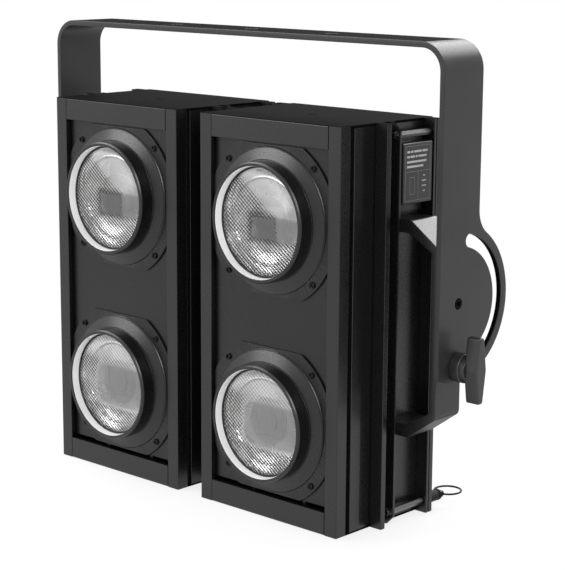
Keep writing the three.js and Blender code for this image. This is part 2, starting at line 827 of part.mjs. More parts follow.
// Yoke: flat bar bent into a U, its arms ending in round lobes with a pivot hole and a curved slot
function yoke() {
  const top = yokeTop;
  const innerBend = yokeBend - yokeThick;
  const bar = [
    point(pivotHeight, -yokeHalfWidth),
    ...arc(top - yokeBend, -(yokeHalfWidth - yokeBend), yokeBend, -90, 0, 5),
    ...arc(top - yokeBend, yokeHalfWidth - yokeBend, yokeBend, 0, 90, 5),
    point(pivotHeight, yokeHalfWidth),
    point(pivotHeight, yokeInner),
    ...arc(top - yokeBend, yokeHalfWidth - yokeBend, innerBend, 90, 0, 5),
    ...arc(top - yokeBend, -(yokeHalfWidth - yokeBend), innerBend, 0, -90, 5),
    point(pivotHeight, -yokeInner),
  ];
  let shape = prism(bar, "y", yokeFront, yokeRear);
  for (const from of [-yokeHalfWidth, yokeInner])
    shape = shape.add(prism(yokeArm(), "x", from, from + yokeThick));
  for (const from of [-yokeHalfWidth, yokeInner])
    for (const hole of [yokeSlot(), circle(pivotDepth, pivotHeight, pivotRadius + runGap, 12)])
      shape = shape.subtract(prism(hole, "x", from - overrun, from + yokeThick + overrun));
  for (const place of [-1, 0, 1]) {
    const hole = rod(place ? sideHangHole : hangHole, "z", top - yokeThick - overrun, top + overrun, 12);
    shape = shape.subtract(hole.translate([place * hangPitch, pivotDepth, 0]));
  }
  return shape;
}

// The arm's side view: straight front edge, round lobe, and a fillet up to the straight rear edge
function yokeArm() {
  const rear = yokeRear - pivotDepth;
  const front = pivotDepth - yokeFront;
  const filletReach = rear + yokeFillet;
  const filletRise = Math.sqrt((yokeLobe + yokeFillet) ** 2 - filletReach ** 2);
  const meet = THREE.MathUtils.radToDeg(Math.atan2(filletRise, filletReach));
  const frontMeet = THREE.MathUtils.radToDeg(Math.acos(front / yokeLobe)) - 180;
  return [
    point(yokeFront, pivotHeight + filletRise),
    ...arc(pivotDepth, pivotHeight, yokeLobe, frontMeet, meet, 18),
    ...arc(pivotDepth + filletReach, pivotHeight + filletRise, yokeFillet, meet - 180, -180, 4).slice(1),
  ];
}

function yokeSlot() {
  const across = studRadius + slotPlay;
  const end = (angle, from) => {
    const a = radians(angle);
    const x = pivotDepth + slotRadius * Math.cos(a);
    const y = pivotHeight + slotRadius * Math.sin(a);
    return arc(x, y, across, from, from + 180, 4).slice(1, -1);
  };
  return [
    ...arc(pivotDepth, pivotHeight, slotRadius + across, slotStart, slotEnd, 15),
    ...end(slotEnd, slotEnd),
    ...arc(pivotDepth, pivotHeight, slotRadius - across, slotEnd, slotStart, 15),
    ...end(slotStart, slotStart + 180),
  ];
}

// Bracket bent like a flat D, its feet on the housing's web and pads for the yoke on its back
function bracket() {
  const web = bracketX + seatGap;
  const inner = bracketOuter - bracketLeg;
  const tall = bracketHeight / 2;
  const low = tall - bracketFoot;
  const side = (way) => [
    [way * tall, web, 0],
    [way * tall, web + bracketShoulder, bracketRound],
    [way * (tall - bracketSlant), bracketOuter, bracketRound],
  ];
  const inside = (way) => [
    [way * (low - innerSlant), inner, bracketRound],
    [way * low, web + innerShoulder, bracketRound],
    [way * low, web, 0],
  ];
  const outline = rounded([...side(1), ...side(-1).reverse(), ...inside(-1).reverse(), ...inside(1)]);
  let shape = prism(outline, "y", bracketDepth, bracketDepth + bracketStrip).translate([0, 0, middle]);
  for (const height of [pivotHeight, clampHeight]) {
    const pad = rod(padRadius, "x", inner + bracketLeg / 2, yokeInner - seatGap, 14);
    shape = shape.add(pad.translate([0, pivotDepth, height]));
  }
  for (const [height, radius] of [[pivotHeight, pivotRadius], [clampHeight, studRadius]]) {
    const bore = rod(radius + runGap, "x", inner - overrun, yokeInner + overrun, 10);
    shape = shape.subtract(bore.translate([0, pivotDepth, height]));
  }
  return shape;
}

// Pivot bolt, flush with the yoke, with a hexagon socket outside and its nut inside the bracket
function pivotBolt() {
  const inner = bracketOuter - bracketLeg - seatGap;
  const shank = rod(pivotRadius, "x", inner - nutThick, yokeHalfWidth, 12);
  const nut = rod(nutRadius, "x", inner - nutThick, inner, 6);
  const recess = rod(pivotSocket, "x", yokeHalfWidth - pivotSocketDeep, yokeHalfWidth + overrun, 6);
  return joined(shank, nut).subtract(recess).translate([0, pivotDepth, pivotHeight]);
}

// Clamp knob: stud through the slot, round hub, and a wing that tapers to both ends
function clampKnob() {
  const hubFrom = yokeHalfWidth + seatGap;
  const neckFrom = hubFrom + knobHubLength;
  const wingFrom = neckFrom + knobNeckLength;
  const wingTo = wingFrom + knobWing;
  const studFrom = bracketOuter - bracketLeg - nutThick;
  const body = turned(
    [
      [0, studFrom],
      [studRadius, studFrom],
      [studRadius, hubFrom],
      [knobHub - knobEase, hubFrom],
      [knobHub, hubFrom + knobEase],
      [knobHub, neckFrom - knobEase],
      [knobHub - knobEase, neckFrom],
      [knobNeck, neckFrom],
      [knobNeck, wingFrom + knobEase],
      [0, wingFrom + knobEase],
    ],
    "x",
    14,
  );
  const wide = wingWidth / 2;
  const tip = wingTip / 2;
  const long = wingLength / 2;
  const corner = tip / 2;
  const outline = rounded([
    [-wide, 0, 0],
    [-tip, -long, corner],
    [tip, -long, corner],
    [wide, 0, 0],
    [tip, long, corner],
    [-tip, long, corner],
  ]);
  return body.add(prism(outline, "x", wingFrom, wingTo)).translate([0, pivotDepth, clampHeight]);
}

function addModule(parent, name, side) {
  const group = new THREE.Group();
  group.position.set(side * moduleCentre, 0, 0);
  const fitted = side > 0;
  group.add(
    mesh(name + "_outer_side", sideExtrusion(side), finish.coat),
    mesh(name + "_inner_side", sideExtrusion(-side), finish.coat),
    mesh(name + "_top_cover", cover(true), finish.coat),
    mesh(name + "_bottom_cover", cover(false), finish.coat),
    mesh(name + "_front_panel", frontPanel(), finish.coat),
    mesh(name + "_heatsink", heatsink(), finish.aluminium),
    mesh(name + "_power_supply", powerSupply(), finish.board),
    mesh(name + "_rear_cover", rearCover(fitted), finish.coat),
    mesh(name + "_fan_rotor", fanRotor(), finish.plastic),
  );
  ["lower", "upper"].forEach((level, i) => addLamp(group, name + "_" + level, lampHeights[i]));
  parent.add(group);
  return group;
}

function addLamp(parent, name, height) {
  const lamp = new THREE.Group();
  lamp.position.set(0, 0, height);
  lamp.add(
    mesh(name + "_bezel", bezel(), finish.coat),
    mesh(name + "_lens", lens(), finish.glass),
    mesh(name + "_reflector", reflector(), finish.chrome),
    mesh(name + "_emitter", emitter(), finish.ceramic),
  );
  parent.add(lamp);
}

function addFittings(rightModule) {
  rightModule.add(mesh("channel_plate", channelPlate(), finish.plastic));
  const panel = new THREE.Group();
  panel.position.set(0, 0, displayLevel);
  panel.add(mesh("control_panel", controlPanel(), finish.plastic));
  ["menu", "down", "up", "enter"].forEach((name, i) => {
    const key = mesh("button_" + name, button(), finish.plastic);
    key.position.set(buttonPlaces()[i], 0, buttonLevel);
    panel.add(key);
  });
  rightModule.add(panel);
  const sockets = [["power_inlet", 3, 90], ["data_in", 3, 30], ["data_out", 5, 90]];
  sockets.forEach(([name, pins, twist], i) => {
    const piece = mesh(name, socket(pins, twist), finish.plastic);
    piece.position.set(socketPlaces()[i], 0, socketRise);
    rightModule.add(piece);
  });
}

function addPins(parent) {
  for (const [level, name] of [[0, "bottom"], [1, "top"]]) {
    for (const [side, hand] of [[-1, "left"], [1, "right"]]) {
      const pin = mesh([hand, name, "pin"].join("_"), lockingPin(), finish.steel);
      const ring = mesh([hand, name, "ring"].join("_"), pullRing(), finish.steel);
      for (const piece of [pin, ring]) {
        piece.position.set(side * (moduleCentre + pinX), 0, pinLevels[level]);
        parent.add(piece);
      }
    }
    const fork = mesh(name + "_joining_fork", joiningFork(), finish.steel);
    fork.position.set(0, 0, pinLevels[level]);
    parent.add(fork);
  }
}

function addYoke(parent) {
  parent.add(mesh("yoke", yoke(), finish.yoke));
  for (const [side, hand] of [[-1, "left"], [1, "right"]]) {
    const handed = (shape) => (side > 0 ? shape : shape.mirror([1, 0, 0]));
    parent.add(
      mesh(hand + "_bracket", handed(bracket()), finish.coat),
      mesh(hand + "_pivot_bolt", handed(pivotBolt()), finish.steel),
      mesh(hand + "_clamp_knob", handed(clampKnob()), finish.plastic),
    );
  }
}

// The origin is under the middle of the whole light, from the rims in front to the pull rings behind
const light = new THREE.Group();
light.position.set(0, -(ringEnd() - snootProud) / 2, 0);
addModule(light, "left", -1);
addFittings(addModule(light, "right", 1));
addPins(light);
addYoke(light);

export default light;
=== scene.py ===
import bmesh
import bpy
import numpy as np
from mathutils import Matrix
from mathutils.geometry import delaunay_2d_cdt


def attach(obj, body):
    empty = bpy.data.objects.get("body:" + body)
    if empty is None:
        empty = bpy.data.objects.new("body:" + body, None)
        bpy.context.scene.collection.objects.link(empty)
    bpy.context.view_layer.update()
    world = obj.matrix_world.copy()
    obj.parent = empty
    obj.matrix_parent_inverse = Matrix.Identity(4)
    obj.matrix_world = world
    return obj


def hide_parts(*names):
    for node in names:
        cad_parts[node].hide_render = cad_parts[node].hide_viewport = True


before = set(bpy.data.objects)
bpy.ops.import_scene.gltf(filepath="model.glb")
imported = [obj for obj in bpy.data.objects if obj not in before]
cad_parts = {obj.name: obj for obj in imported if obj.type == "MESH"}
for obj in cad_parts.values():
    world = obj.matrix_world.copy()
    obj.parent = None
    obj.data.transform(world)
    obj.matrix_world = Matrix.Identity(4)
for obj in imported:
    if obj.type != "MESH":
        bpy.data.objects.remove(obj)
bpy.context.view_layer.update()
scene = bpy.context.scene
print("frame loaded:", len(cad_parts), "nodes")

# Millimetres: x across the front, depth from the front of the posts to the back, z up
layout = {
    "frontFace": -81.4,  # where depth 0 lies on the frame's Y
    "moduleCentre": 110.0,
    "half": 92.7,
    "height": 400.0,
    "lampHeights": {"lower": 100.3, "upper": 301.1},
    "pinHeights": {"bottom": 12.6, "top": 387.4},
    "rearFace": 137.0,
    "pivotDepth": 91.8,
    "pivotHeight": 229.7,
    "clampHeight": 168.2,
}
hands = {"left": -1, "right": 1}
# Points closer than this count as one: millimetres in a cap, metres in a mesh
nearest = {"cap": 1e-5, "merge": 2e-7, "sliver": 1e-8}
leaning = 0.3  # a face looks up or down when this much of its normal does


# Shapes: each function returns points in millimetres and faces


# Points at equal angles round a centre
def circle(x, y, radius, steps=64):
    a = np.linspace(0, 2 * np.pi, steps, endpoint=False)
    return np.stack([x + radius * np.cos(a), y + radius * np.sin(a)], 1)


# Points at equal angles from start to end, in degrees, both included
def arc(x, y, radius, start, end, steps=24):
    a = np.radians(np.linspace(start, end, steps + 1))
    return np.stack([x + radius * np.cos(a), y + radius * np.sin(a)], 1)


# Each corner [x, y, radius] becomes the arc that touches both of its sides; radius 0 keeps the corner
def rounded(corners, steps=4):
    xy = np.array([c[:2] for c in corners], float)
    out = []
    for i, (x, y, radius) in enumerate(corners):
        if not radius:
            out.append([[x, y]])
            continue
        back = xy[i - 1] - xy[i]
        on = xy[(i + 1) % len(xy)] - xy[i]
        back, on = back / np.linalg.norm(back), on / np.linalg.norm(on)
        halfTurn = np.arccos(np.clip(back @ on, -1, 1)) / 2
        middle = (back + on) / np.linalg.norm(back + on)
        centre = xy[i] + middle * radius / np.sin(halfTurn)
        first = xy[i] + back * radius / np.tan(halfTurn) - centre
        last = xy[i] + on * radius / np.tan(halfTurn) - centre
        sweep = np.arctan2(first[0] * last[1] - first[1] * last[0], first @ last)
        t = np.linspace(0, sweep, steps + 1)
        c, s = np.cos(t), np.sin(t)
        out.append(np.stack([c * first[0] - s * first[1], s * first[0] + c * first[1]], 1) + centre)
    return np.concatenate(out)


# A rectangle with equal round corners
def frameBox(x0, x1, y0, y1, radius=0, steps=4):
    return rounded([[x0, y0, radius], [x1, y0, radius], [x1, y1, radius], [x0, y1, radius]], steps)


# Half the sum of x * next y - next x * y: positive when the loop runs anticlockwise
def signedArea(loop):
    x, y = loop[:, 0], loop[:, 1]
    return 0.5 * np.sum(x * np.roll(y, -1) - np.roll(x, -1) * y)


# The step into the material at each point: the sum of both side normals, lengthened to keep the sides parallel
def insets(loop):
    ahead = np.roll(loop, -1, 0) - loop
    ahead /= np.maximum(np.linalg.norm(ahead, axis=1, keepdims=True), 1e-9)
    side = np.stack([-ahead[:, 1], ahead[:, 0]], 1)
    before = np.roll(side, 1, 0)
    return (side + before) / np.maximum(1 + np.sum(side * before, 1, keepdims=True), 0.3)


# Even-odd rule: a point is inside when a ray to the right crosses the loops an odd number of times
def inside(points, loops):
    crossings = np.zeros(len(points), int)
    for loop in loops:
        a, b = loop, np.roll(loop, -1, 0)
        y = points[:, 1:2]
        spans = (a[:, 1] > y) != (b[:, 1] > y)
        rise = np.where(b[:, 1] == a[:, 1], 1, b[:, 1] - a[:, 1])
        x = a[:, 0] + (y - a[:, 1]) * (b[:, 0] - a[:, 0]) / rise
        crossings += np.sum(spans & (x > points[:, :1]), 1)
    return crossings % 2 == 1


# Triangles between an outline and its holes: a net over all the points, kept where it lies in the material
def capFaces(flat, sizes, ribs):
    edges, at = [], 0
    for n in sizes:
        edges += [(at + k, at + (k + 1) % n) for k in range(n)]
        at += n
    made = delaunay_2d_cdt(flat.tolist(), edges + list(ribs), [], 0, nearest["cap"])
    origin = [ids[0] if ids else -1 for ids in made[3]]
    triangles = np.array([[origin[k] for k in f] for f in made[2] if len(f) == 3])
    triangles = triangles[(triangles >= 0).all(1)]
    return triangles[inside(flat[triangles].mean(1), np.split(flat, np.cumsum(sizes)[:-1]))]


axisOrder = {"x": [1, 2, 0], "y": [0, 2, 1], "z": [0, 1, 2]}  # the columns of outline u, outline v and the axis


# Carries an outline and its holes from low to high. Within edge of either end the loops move into the material by
# edge * (1 - cos t) while they rise by edge * (1 - sin t), so that every rim is a quarter round.
def slab(loops, axis, low, high, edge=0.4, rounds=2, ribs=()):
    loops = [np.asarray(loop, float) for loop in loops]
    loops = [loop if (signedArea(loop) > 0) == (i == 0) else loop[::-1] for i, loop in enumerate(loops)]
    t = np.linspace(np.pi / 2, 0, rounds + 1) if edge else np.zeros(1)
    shrink = edge * (1 - np.cos(t))
    rise = edge * (1 - np.sin(t)) if edge else np.zeros(1)
    steps = np.concatenate([shrink, shrink[::-1]])
    places = np.concatenate([low + rise, high - rise[::-1]])
    points, faces, start = [], [], 0
    rings = len(steps)
    for loop in loops:
        n = len(loop)
        grid = loop[None] + insets(loop)[None] * steps[:, None, None]
        level = np.broadcast_to(places[:, None, None], (rings, n, 1))
        points.append(np.concatenate([grid, level], 2).reshape(-1, 3))
        r, c = np.meshgrid(np.arange(rings - 1), np.arange(n), indexing="ij")
        a, b = start + r * n + c, start + r * n + (c + 1) % n
        faces += np.stack([a, b, b + n, a + n], -1).reshape(-1, 4).tolist()
        start += rings * n
    points = np.concatenate(points)
    sizes = [len(loop) for loop in loops]
    starts = np.cumsum([0] + [rings * n for n in sizes[:-1]])
    for ring in (0, rings - 1):
        index = np.concatenate([s + ring * n + np.arange(n) for s, n in zip(starts, sizes)])
        faces += index[capFaces(points[index][:, :2], sizes, ribs)].tolist()
    placed = np.empty_like(points)
    placed[:, axisOrder[axis]] = points
    return placed, faces


# Profile points (radius, place) at every angle a: radius * cos a and radius * sin a across the axis, place on it
def turned(profile, axis, steps=96, closed=False):
    profile = np.asarray(profile, float)
    a = np.linspace(0, 2 * np.pi, steps, endpoint=False)[:, None]
    radius, place = profile[:, 0][None], np.broadcast_to(profile[:, 1][None], (steps, len(profile)))
    across, up = radius * np.cos(a), radius * np.sin(a)
    columns = {"x": (place, across, up), "y": (across, place, up), "z": (across, up, place)}[axis]
    points = np.stack(columns, -1).reshape(-1, 3)
    n = len(profile)
    r, c = np.meshgrid(np.arange(steps), np.arange(n if closed else n - 1), indexing="ij")
    first, after = r * n, (r + 1) % steps * n
    on = (c + 1) % n
    return points, np.stack([first + c, after + c, after + on, first + on], -1).reshape(-1, 4).tolist()


# A circle of the wire's radius carried round a level circle
def torus(radius, wire, steps=96, around=16):
    return turned(circle(radius, 0, wire, around), "z", steps, closed=True)


# Several shapes as one: their points in a row, and their faces numbered on
def joined(*shapes):
    points, faces, start = [], [], 0
    for xyz, polygons in shapes:
        points.append(xyz)
        faces += [[k + start for k in polygon] for polygon in polygons]
        start += len(xyz)
    return np.concatenate(points), faces


# The same offset for every point
def moved(shape, x=0.0, depth=0.0, z=0.0):
    return shape[0] + np.array([x, depth, z]), shape[1]


# x changes sign on the left-hand side; normals are worked out again afterwards
def mirrored(shape, side):
    return shape[0] * np.array([side, 1, 1]), shape[1]


# Turns a shape round the depth axis
def spun(shape, degrees):
    a = np.radians(degrees)
    x, z = shape[0][:, 0], shape[0][:, 2]
    return np.stack([np.cos(a) * x - np.sin(a) * z, shape[0][:, 1], np.sin(a) * x + np.cos(a) * z], 1), shape[1]


# Places a shape as one object. other is a second material and the test that picks its faces by centre and normal.
def makePiece(name, shape, material, body="housings", nodes=(), smooth=34, other=None):
    points, faces = shape
    placed = (points + np.array([0, layout["frontFace"], 0])) / 1000
    mesh = bpy.data.meshes.new(name)
    mesh.from_pydata(placed.tolist(), [], faces)
    shell = bmesh.new()
    shell.from_mesh(mesh)
    bmesh.ops.remove_doubles(shell, verts=shell.verts, dist=nearest["merge"])
    bmesh.ops.dissolve_degenerate(shell, dist=nearest["sliver"], edges=shell.edges)
    bmesh.ops.recalc_face_normals(shell, faces=shell.faces)
    shell.to_mesh(mesh)
    shell.free()
    mesh.shade_smooth()
    mesh.set_sharp_from_angle(angle=np.radians(smooth))
    mesh.materials.append(material)
    if other:
        second, test = other
        mesh.materials.append(second)
        for face in mesh.polygons:
            face.material_index = int(test(face.center, face.normal))
    piece = bpy.data.objects.new(name, mesh)
    scene.collection.objects.link(piece)
    piece.modifiers.new("evenShading", "WEIGHTED_NORMAL").keep_sharp = True
    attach(piece, body)
    if nodes:
        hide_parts(*nodes)
    return piece


# Picks the upper faces for the darker, duller copy of the coat: painted shade on the tops
def facesUp(centre, normal):
    return normal.z > leaning


# Picks the undersides for the less mirroring copy of the coat: painted shade under the brackets
def facesDown(centre, normal):
    return normal.z < -leaning


# sRGB hex to linear light
def linear(code, alpha=1.0):
    c = np.array([int(code[i : i + 2], 16) for i in (1, 3, 5)]) / 255
    return (*np.where(c <= 0.04045, c / 12.92, ((c + 0.055) / 1.055) ** 2.4).tolist(), alpha)


# Adds a node. settings are its own values or those of its sockets, links are the sources of its sockets.
def addNode(tree, kind, settings=(), links=()):
    node = tree.nodes.new(kind)
    for key, value in dict(settings).items():
        if isinstance(key, str) and hasattr(node, key):
            setattr(node, key, value)
        else:
            node.inputs[key].default_value = value
    for key, source in dict(links).items():
        tree.links.new(source, node.inputs[key])
    return node


# An empty material, its tree and the object's own coordinates
def newMaterial(name):
    material = bpy.data.materials.new(name)
    material.use_nodes = True
    material.node_tree.nodes.clear()
    tree = material.node_tree
    place = addNode(tree, "ShaderNodeTexCoord").outputs["Object"]
    return material, tree, place


# A pattern's scale from the real size of its parts: 1000 / millimetres
def perMetre(millimetres):
    return 1000.0 / millimetres


# Fine grain as height. grain and height are in millimetres
def grainBump(tree, place, grain, height, strength):
    noise = addNode(tree, "ShaderNodeTexNoise", {"Scale": perMetre(grain), "Detail": 3.0}, {"Vector": place})
    return addNode(
        tree, "ShaderNodeBump", {"Strength": strength, "Distance": height / 1000}, {"Height": noise.outputs["Fac"]}
    )


# Maps 0..1 to colours or greys at the given places
def ramp(tree, source, stops):
    node = addNode(tree, "ShaderNodeValToRGB", (), {"Fac": source})
    elements = node.color_ramp.elements
    while len(elements) < len(stops):
        elements.new(0.5)
    for element, (at, colour) in zip(elements, stops):
        element.position = at
        element.color = linear(colour) if isinstance(colour, str) else (colour, colour, colour, 1)
    return node.outputs["Color"]


# A coat whose colour and gloss drift slowly, over a fine grain. A real coat's grain is under half a millimetre:
# too fine to show in the render, so it is drawn about twice as coarse.
def coated(name, dark, light, roughness, grain, height=0.03, specular=0.5, strength=0.2):
    material, tree, place = newMaterial(name)
    drift = addNode(tree, "ShaderNodeTexNoise", {"Scale": perMetre(70), "Detail": 4.0}, {"Vector": place})
    colour = ramp(tree, drift.outputs["Fac"], [(0.3, dark), (0.7, light)])
    fine = addNode(tree, "ShaderNodeTexNoise", {"Scale": perMetre(grain), "Detail": 2.0}, {"Vector": place})
    gloss = ramp(tree, fine.outputs["Fac"], [(0.35, roughness - 0.05), (0.65, roughness + 0.06)])
    bump = grainBump(tree, place, grain, height, strength)
    shader = addNode(
        tree,
        "ShaderNodeBsdfPrincipled",
        {"Specular IOR Level": specular},
        {"Base Color": colour, "Roughness": gloss, "Normal": bump.outputs[0]},
    )
    addNode(tree, "ShaderNodeOutputMaterial", (), {"Surface": shader.outputs[0]})
    return material


# Metal with drawn lines along one axis, 20 mm long and, where along squeezes them, 0.5 mm wide. Real ones are
# finer and wouldn't show in the render.
def brushedMetal(name, dark, light, roughness, along=(1, 40, 40)):
    material, tree, place = newMaterial(name)
    stretched = addNode(tree, "ShaderNodeMapping", {"Scale": along}, {"Vector": place})
    streaks = {"Scale": perMetre(20), "Detail": 3.0}
    lines = addNode(tree, "ShaderNodeTexNoise", streaks, {"Vector": stretched.outputs[0]})
    colour = ramp(tree, lines.outputs["Fac"], [(0.3, dark), (0.7, light)])
    gloss = ramp(tree, lines.outputs["Fac"], [(0.3, roughness - 0.06), (0.7, roughness + 0.08)])
    bump = addNode(tree, "ShaderNodeBump", {"Strength": 0.15, "Distance": 0.00003}, {"Height": lines.outputs["Fac"]})
    shader = addNode(
        tree,
        "ShaderNodeBsdfPrincipled",
        {"Metallic": 1.0},
        {"Base Color": colour, "Roughness": gloss, "Normal": bump.outputs[0]},
    )
    addNode(tree, "ShaderNodeOutputMaterial", (), {"Surface": shader.outputs[0]})
    return material


# Satin polyester powder coat: fine orange peel, soft wide highlights
powderCoat = coated("satinPowderCoat", "#0c0c0d", "#111112", 0.3, 1.1)
# The sunk front panels and the bezels' plates get a copy of the same coat, a touch darker and less glossy than the
# posts
panelCoat = coated("panelPowderCoat", "#0b0b0c", "#101011", 0.32, 1.1, specular=0.4)
# The flat covers have a darker, duller coat with a finer texture, so that they stay dark at a low angle. The same
# coat on the upper faces of the posts and bars is painted shade on the tops.
coverAndTopShadeCoat = coated("dullCoverAndTopShadeCoat", "#09090a", "#0d0d0e", 0.7, 0.8, specular=0.02)
# The steel yoke's coat is a good deal greyer and a little rougher, so that its flat arm reads as dark grey
yokeCoat = coated("yokePowderCoat", "#202022", "#272728", 0.38, 1.2, specular=0.38)
# The brackets' undersides get a copy of the coat that mirrors less of the floor: painted shade under them
undersideShadeCoat = coated("shadedUndersideCoat", "#0c0c0d", "#111112", 0.42, 1.1, specular=0.2)
# On the yoke's flat top and inside its slots: a near black, dull copy of the coat, painted shade
yokeShadeCoat = coated("shadedYokeCoat", "#060606", "#0a0a0a", 0.75, 0.8, specular=0.02)
# Injection-moulded nylon: dark grey, with the fine matt grain of a spark-eroded mould
blackNylon = coated("mouldedNylon", "#1c1c1d", "#242425", 0.36, 0.9, height=0.04)
# Zinc plate: pale grey with fine lines and a soft sheen
zincSteel = brushedMetal("zincPlatedSteel", "#9a9a9b", "#bcbcbc", 0.32)
# Black oxide: almost black, with a faint metallic sheen
darkSteel = brushedMetal("blackOxideSteel", "#18181a", "#232325", 0.38)
# Drawn steel of the hexagonal rods: grey, with a clear sheen
drawnSteel = brushedMetal("drawnSteel", "#5c5c5e", "#747476", 0.36)
# Black phosphated screws: darker than the coat round them, with a glint on their rims
screwSteel = coated("phosphatedScrewSteel", "#050505", "#09090a", 0.26, 0.8, specular=0.22)
# Blackened and oiled steel: a dead black end in the yoke's hole
oiledSteel = coated("blackenedSteel", "#050505", "#0a0a0a", 0.6, 0.8, specular=0.05)
# Aluminium as it comes from the press: mid grey, with its lines running up
plainAluminium = brushedMetal("extrudedAluminium", "#8f9194", "#a8aaad", 0.4, along=(40, 40, 1))


# Vacuum-coated aluminium: a mirror with a faint ripple
def polishedReflector():
    material, tree, place = newMaterial("polishedReflector")
    ripple = addNode(tree, "ShaderNodeTexNoise", {"Scale": perMetre(14), "Detail": 1.0}, {"Vector": place})
    bump = addNode(tree, "ShaderNodeBump", {"Strength": 0.35, "Distance": 0.0006}, {"Height": ripple.outputs["Fac"]})
    gloss = ramp(tree, ripple.outputs["Fac"], [(0.3, 0.24), (0.7, 0.34)])
    shader = addNode(
        tree,
        "ShaderNodeBsdfPrincipled",
        {"Base Color": linear("#f2f2f2"), "Metallic": 1.0},
        {"Roughness": gloss, "Normal": bump.outputs[0]},
    )
    addNode(tree, "ShaderNodeOutputMaterial", (), {"Surface": shader.outputs[0]})
    return material


# Each set of lines has its attribute, its turn in degrees and its pitch in mm. The real pitch is about 2.4 mm: too
# fine to show in the render, so it is drawn coarser
lensLook = {
    "sets": (("fallingCutShade", 53, 3.15), ("risingCutShade", -45, 3.5)),
    "rise": 0.05,  # height of a ridge
    "patch": 16,  # size of the patches where the mould has worn
    # the colour of the painted shade, in the valleys and in the shaded zones
    "dark": "#0c0c0d",
    "clear": "#ffffff",
}


# Fine waves across the glass, 0 in the valleys and 1 on the ridges
def ridgeWaves(tree, place, turn, pitch):
    tilted = addNode(tree, "ShaderNodeMapping", {"Rotation": (0, np.radians(turn), 0)}, {"Vector": place})
    waves = {"bands_direction": "X", "Scale": perMetre(pitch) * np.pi / 10}
    return addNode(tree, "ShaderNodeTexWave", waves, {"Vector": tilted.outputs[0]}).outputs["Fac"]


# Pressed glass: two sets of fine ridges cross almost at right angles. The glass's own attributes say how deep each
# set is cut. The tint is the product of 1 - cut * (1 - wave) over both sets, and the height the sum of cut * wave.
# Where the tint darkens the valleys it is painted shade, standing in for the light that the ridges bend aside.
def patternedGlass():
    material, tree, place = newMaterial("pressedDiamondGlass")
    worn = {"Scale": perMetre(lensLook["patch"]), "Detail": 2.0}
    drift = addNode(tree, "ShaderNodeTexNoise", worn, {"Vector": place})
    uneven = ramp(tree, drift.outputs["Fac"], [(0.3, 0.8), (0.5, 1.0)])
    kept, height = [], []
    for name, turn, pitch in lensLook["sets"]:
        wave = ridgeWaves(tree, place, turn, pitch)
        cut = addNode(tree, "ShaderNodeAttribute", {"attribute_name": name}).outputs["Fac"]
        depth = addNode(tree, "ShaderNodeMath", {"operation": "MULTIPLY"}, {0: cut, 1: uneven}).outputs[0]
        valley = addNode(tree, "ShaderNodeMath", {"operation": "SUBTRACT", 0: 1.0}, {1: wave}).outputs[0]
        loss = addNode(tree, "ShaderNodeMath", {"operation": "MULTIPLY"}, {0: valley, 1: depth}).outputs[0]
        kept.append(addNode(tree, "ShaderNodeMath", {"operation": "SUBTRACT", 0: 1.0}, {1: loss}).outputs[0])
        height.append(addNode(tree, "ShaderNodeMath", {"operation": "MULTIPLY"}, {0: wave, 1: depth}).outputs[0])
    tint = addNode(tree, "ShaderNodeMath", {"operation": "MULTIPLY"}, {0: kept[0], 1: kept[1]})
    # Painted grey shade from the glass's own attribute, taken off the tint
    shade = addNode(tree, "ShaderNodeAttribute", {"attribute_name": "paintedGreyShade"}).outputs["Fac"]
    left = addNode(tree, "ShaderNodeMath", {"operation": "SUBTRACT"}, {0: tint.outputs[0], 1: shade})
    colour = ramp(tree, left.outputs[0], [(0.15, lensLook["dark"]), (0.6, lensLook["clear"])])
    total = addNode(tree, "ShaderNodeMath", {"operation": "ADD"}, {0: height[0], 1: height[1]})
    bump = addNode(
        tree,
        "ShaderNodeBump",
        {"Strength": 1.0, "Distance": lensLook["rise"] / 1000},
        {"Height": total.outputs[0]},
    )
    glass = addNode(
        tree,
        "ShaderNodeBsdfPrincipled",
        {"Roughness": 0.03, "IOR": 1.5, "Transmission Weight": 1.0},
        {"Base Color": colour, "Normal": bump.outputs[0]},
    )
    addNode(tree, "ShaderNodeOutputMaterial", (), {"Surface": glass.outputs[0]})
    return material


# White ceramic under the light source: matt and pale, with a faint pattern of 3 mm cells
def ceramicBoard():
    material, tree, place = newMaterial("whiteCeramicBoard")
    spots = addNode(tree, "ShaderNodeTexVoronoi", {"Scale": perMetre(3)}, {"Vector": place})
    colour = ramp(tree, spots.outputs["Distance"], [(0.1, "#eaeaea"), (0.5, "#f2f2f2")])
    shader = addNode(tree, "ShaderNodeBsdfPrincipled", {"Roughness": 0.4}, {"Base Color": colour})
    addNode(tree, "ShaderNodeOutputMaterial", (), {"Surface": shader.outputs[0]})
    return material


# Glass-epoxy board: green lacquer with paler tracks
def circuitBoard():
    material, tree, place = newMaterial("glassEpoxyBoard")
    tracks = addNode(tree, "ShaderNodeTexBrick", {"Scale": perMetre(30)}, {"Vector": place})
    colour = ramp(tree, tracks.outputs["Fac"], [(0.2, "#1d4a2a"), (0.8, "#3c6f47")])
    shader = addNode(tree, "ShaderNodeBsdfPrincipled", {"Roughness": 0.35}, {"Base Color": colour})
    addNode(tree, "ShaderNodeOutputMaterial", (), {"Surface": shader.outputs[0]})
    return material


chrome = polishedReflector()
# Satin aluminium at the bottom of each bowl: bright, even and without clear reflections
satinSheet = brushedMetal("satinAluminiumSheet", "#e6e6e6", "#f0f0f0", 0.5, along=(1, 1, 1))
# White stove enamel round the mouth: clean, with a soft gloss
brightLiner = coated("whiteEnamel", "#f0f0f0", "#fafafa", 0.35, 2.0, height=0.01, strength=0.1)
# Ethylene rubber that holds the glass: matt black
sealRubber = coated("blackRubber", "#0e0e0e", "#151515", 0.7, 0.6, height=0.02)
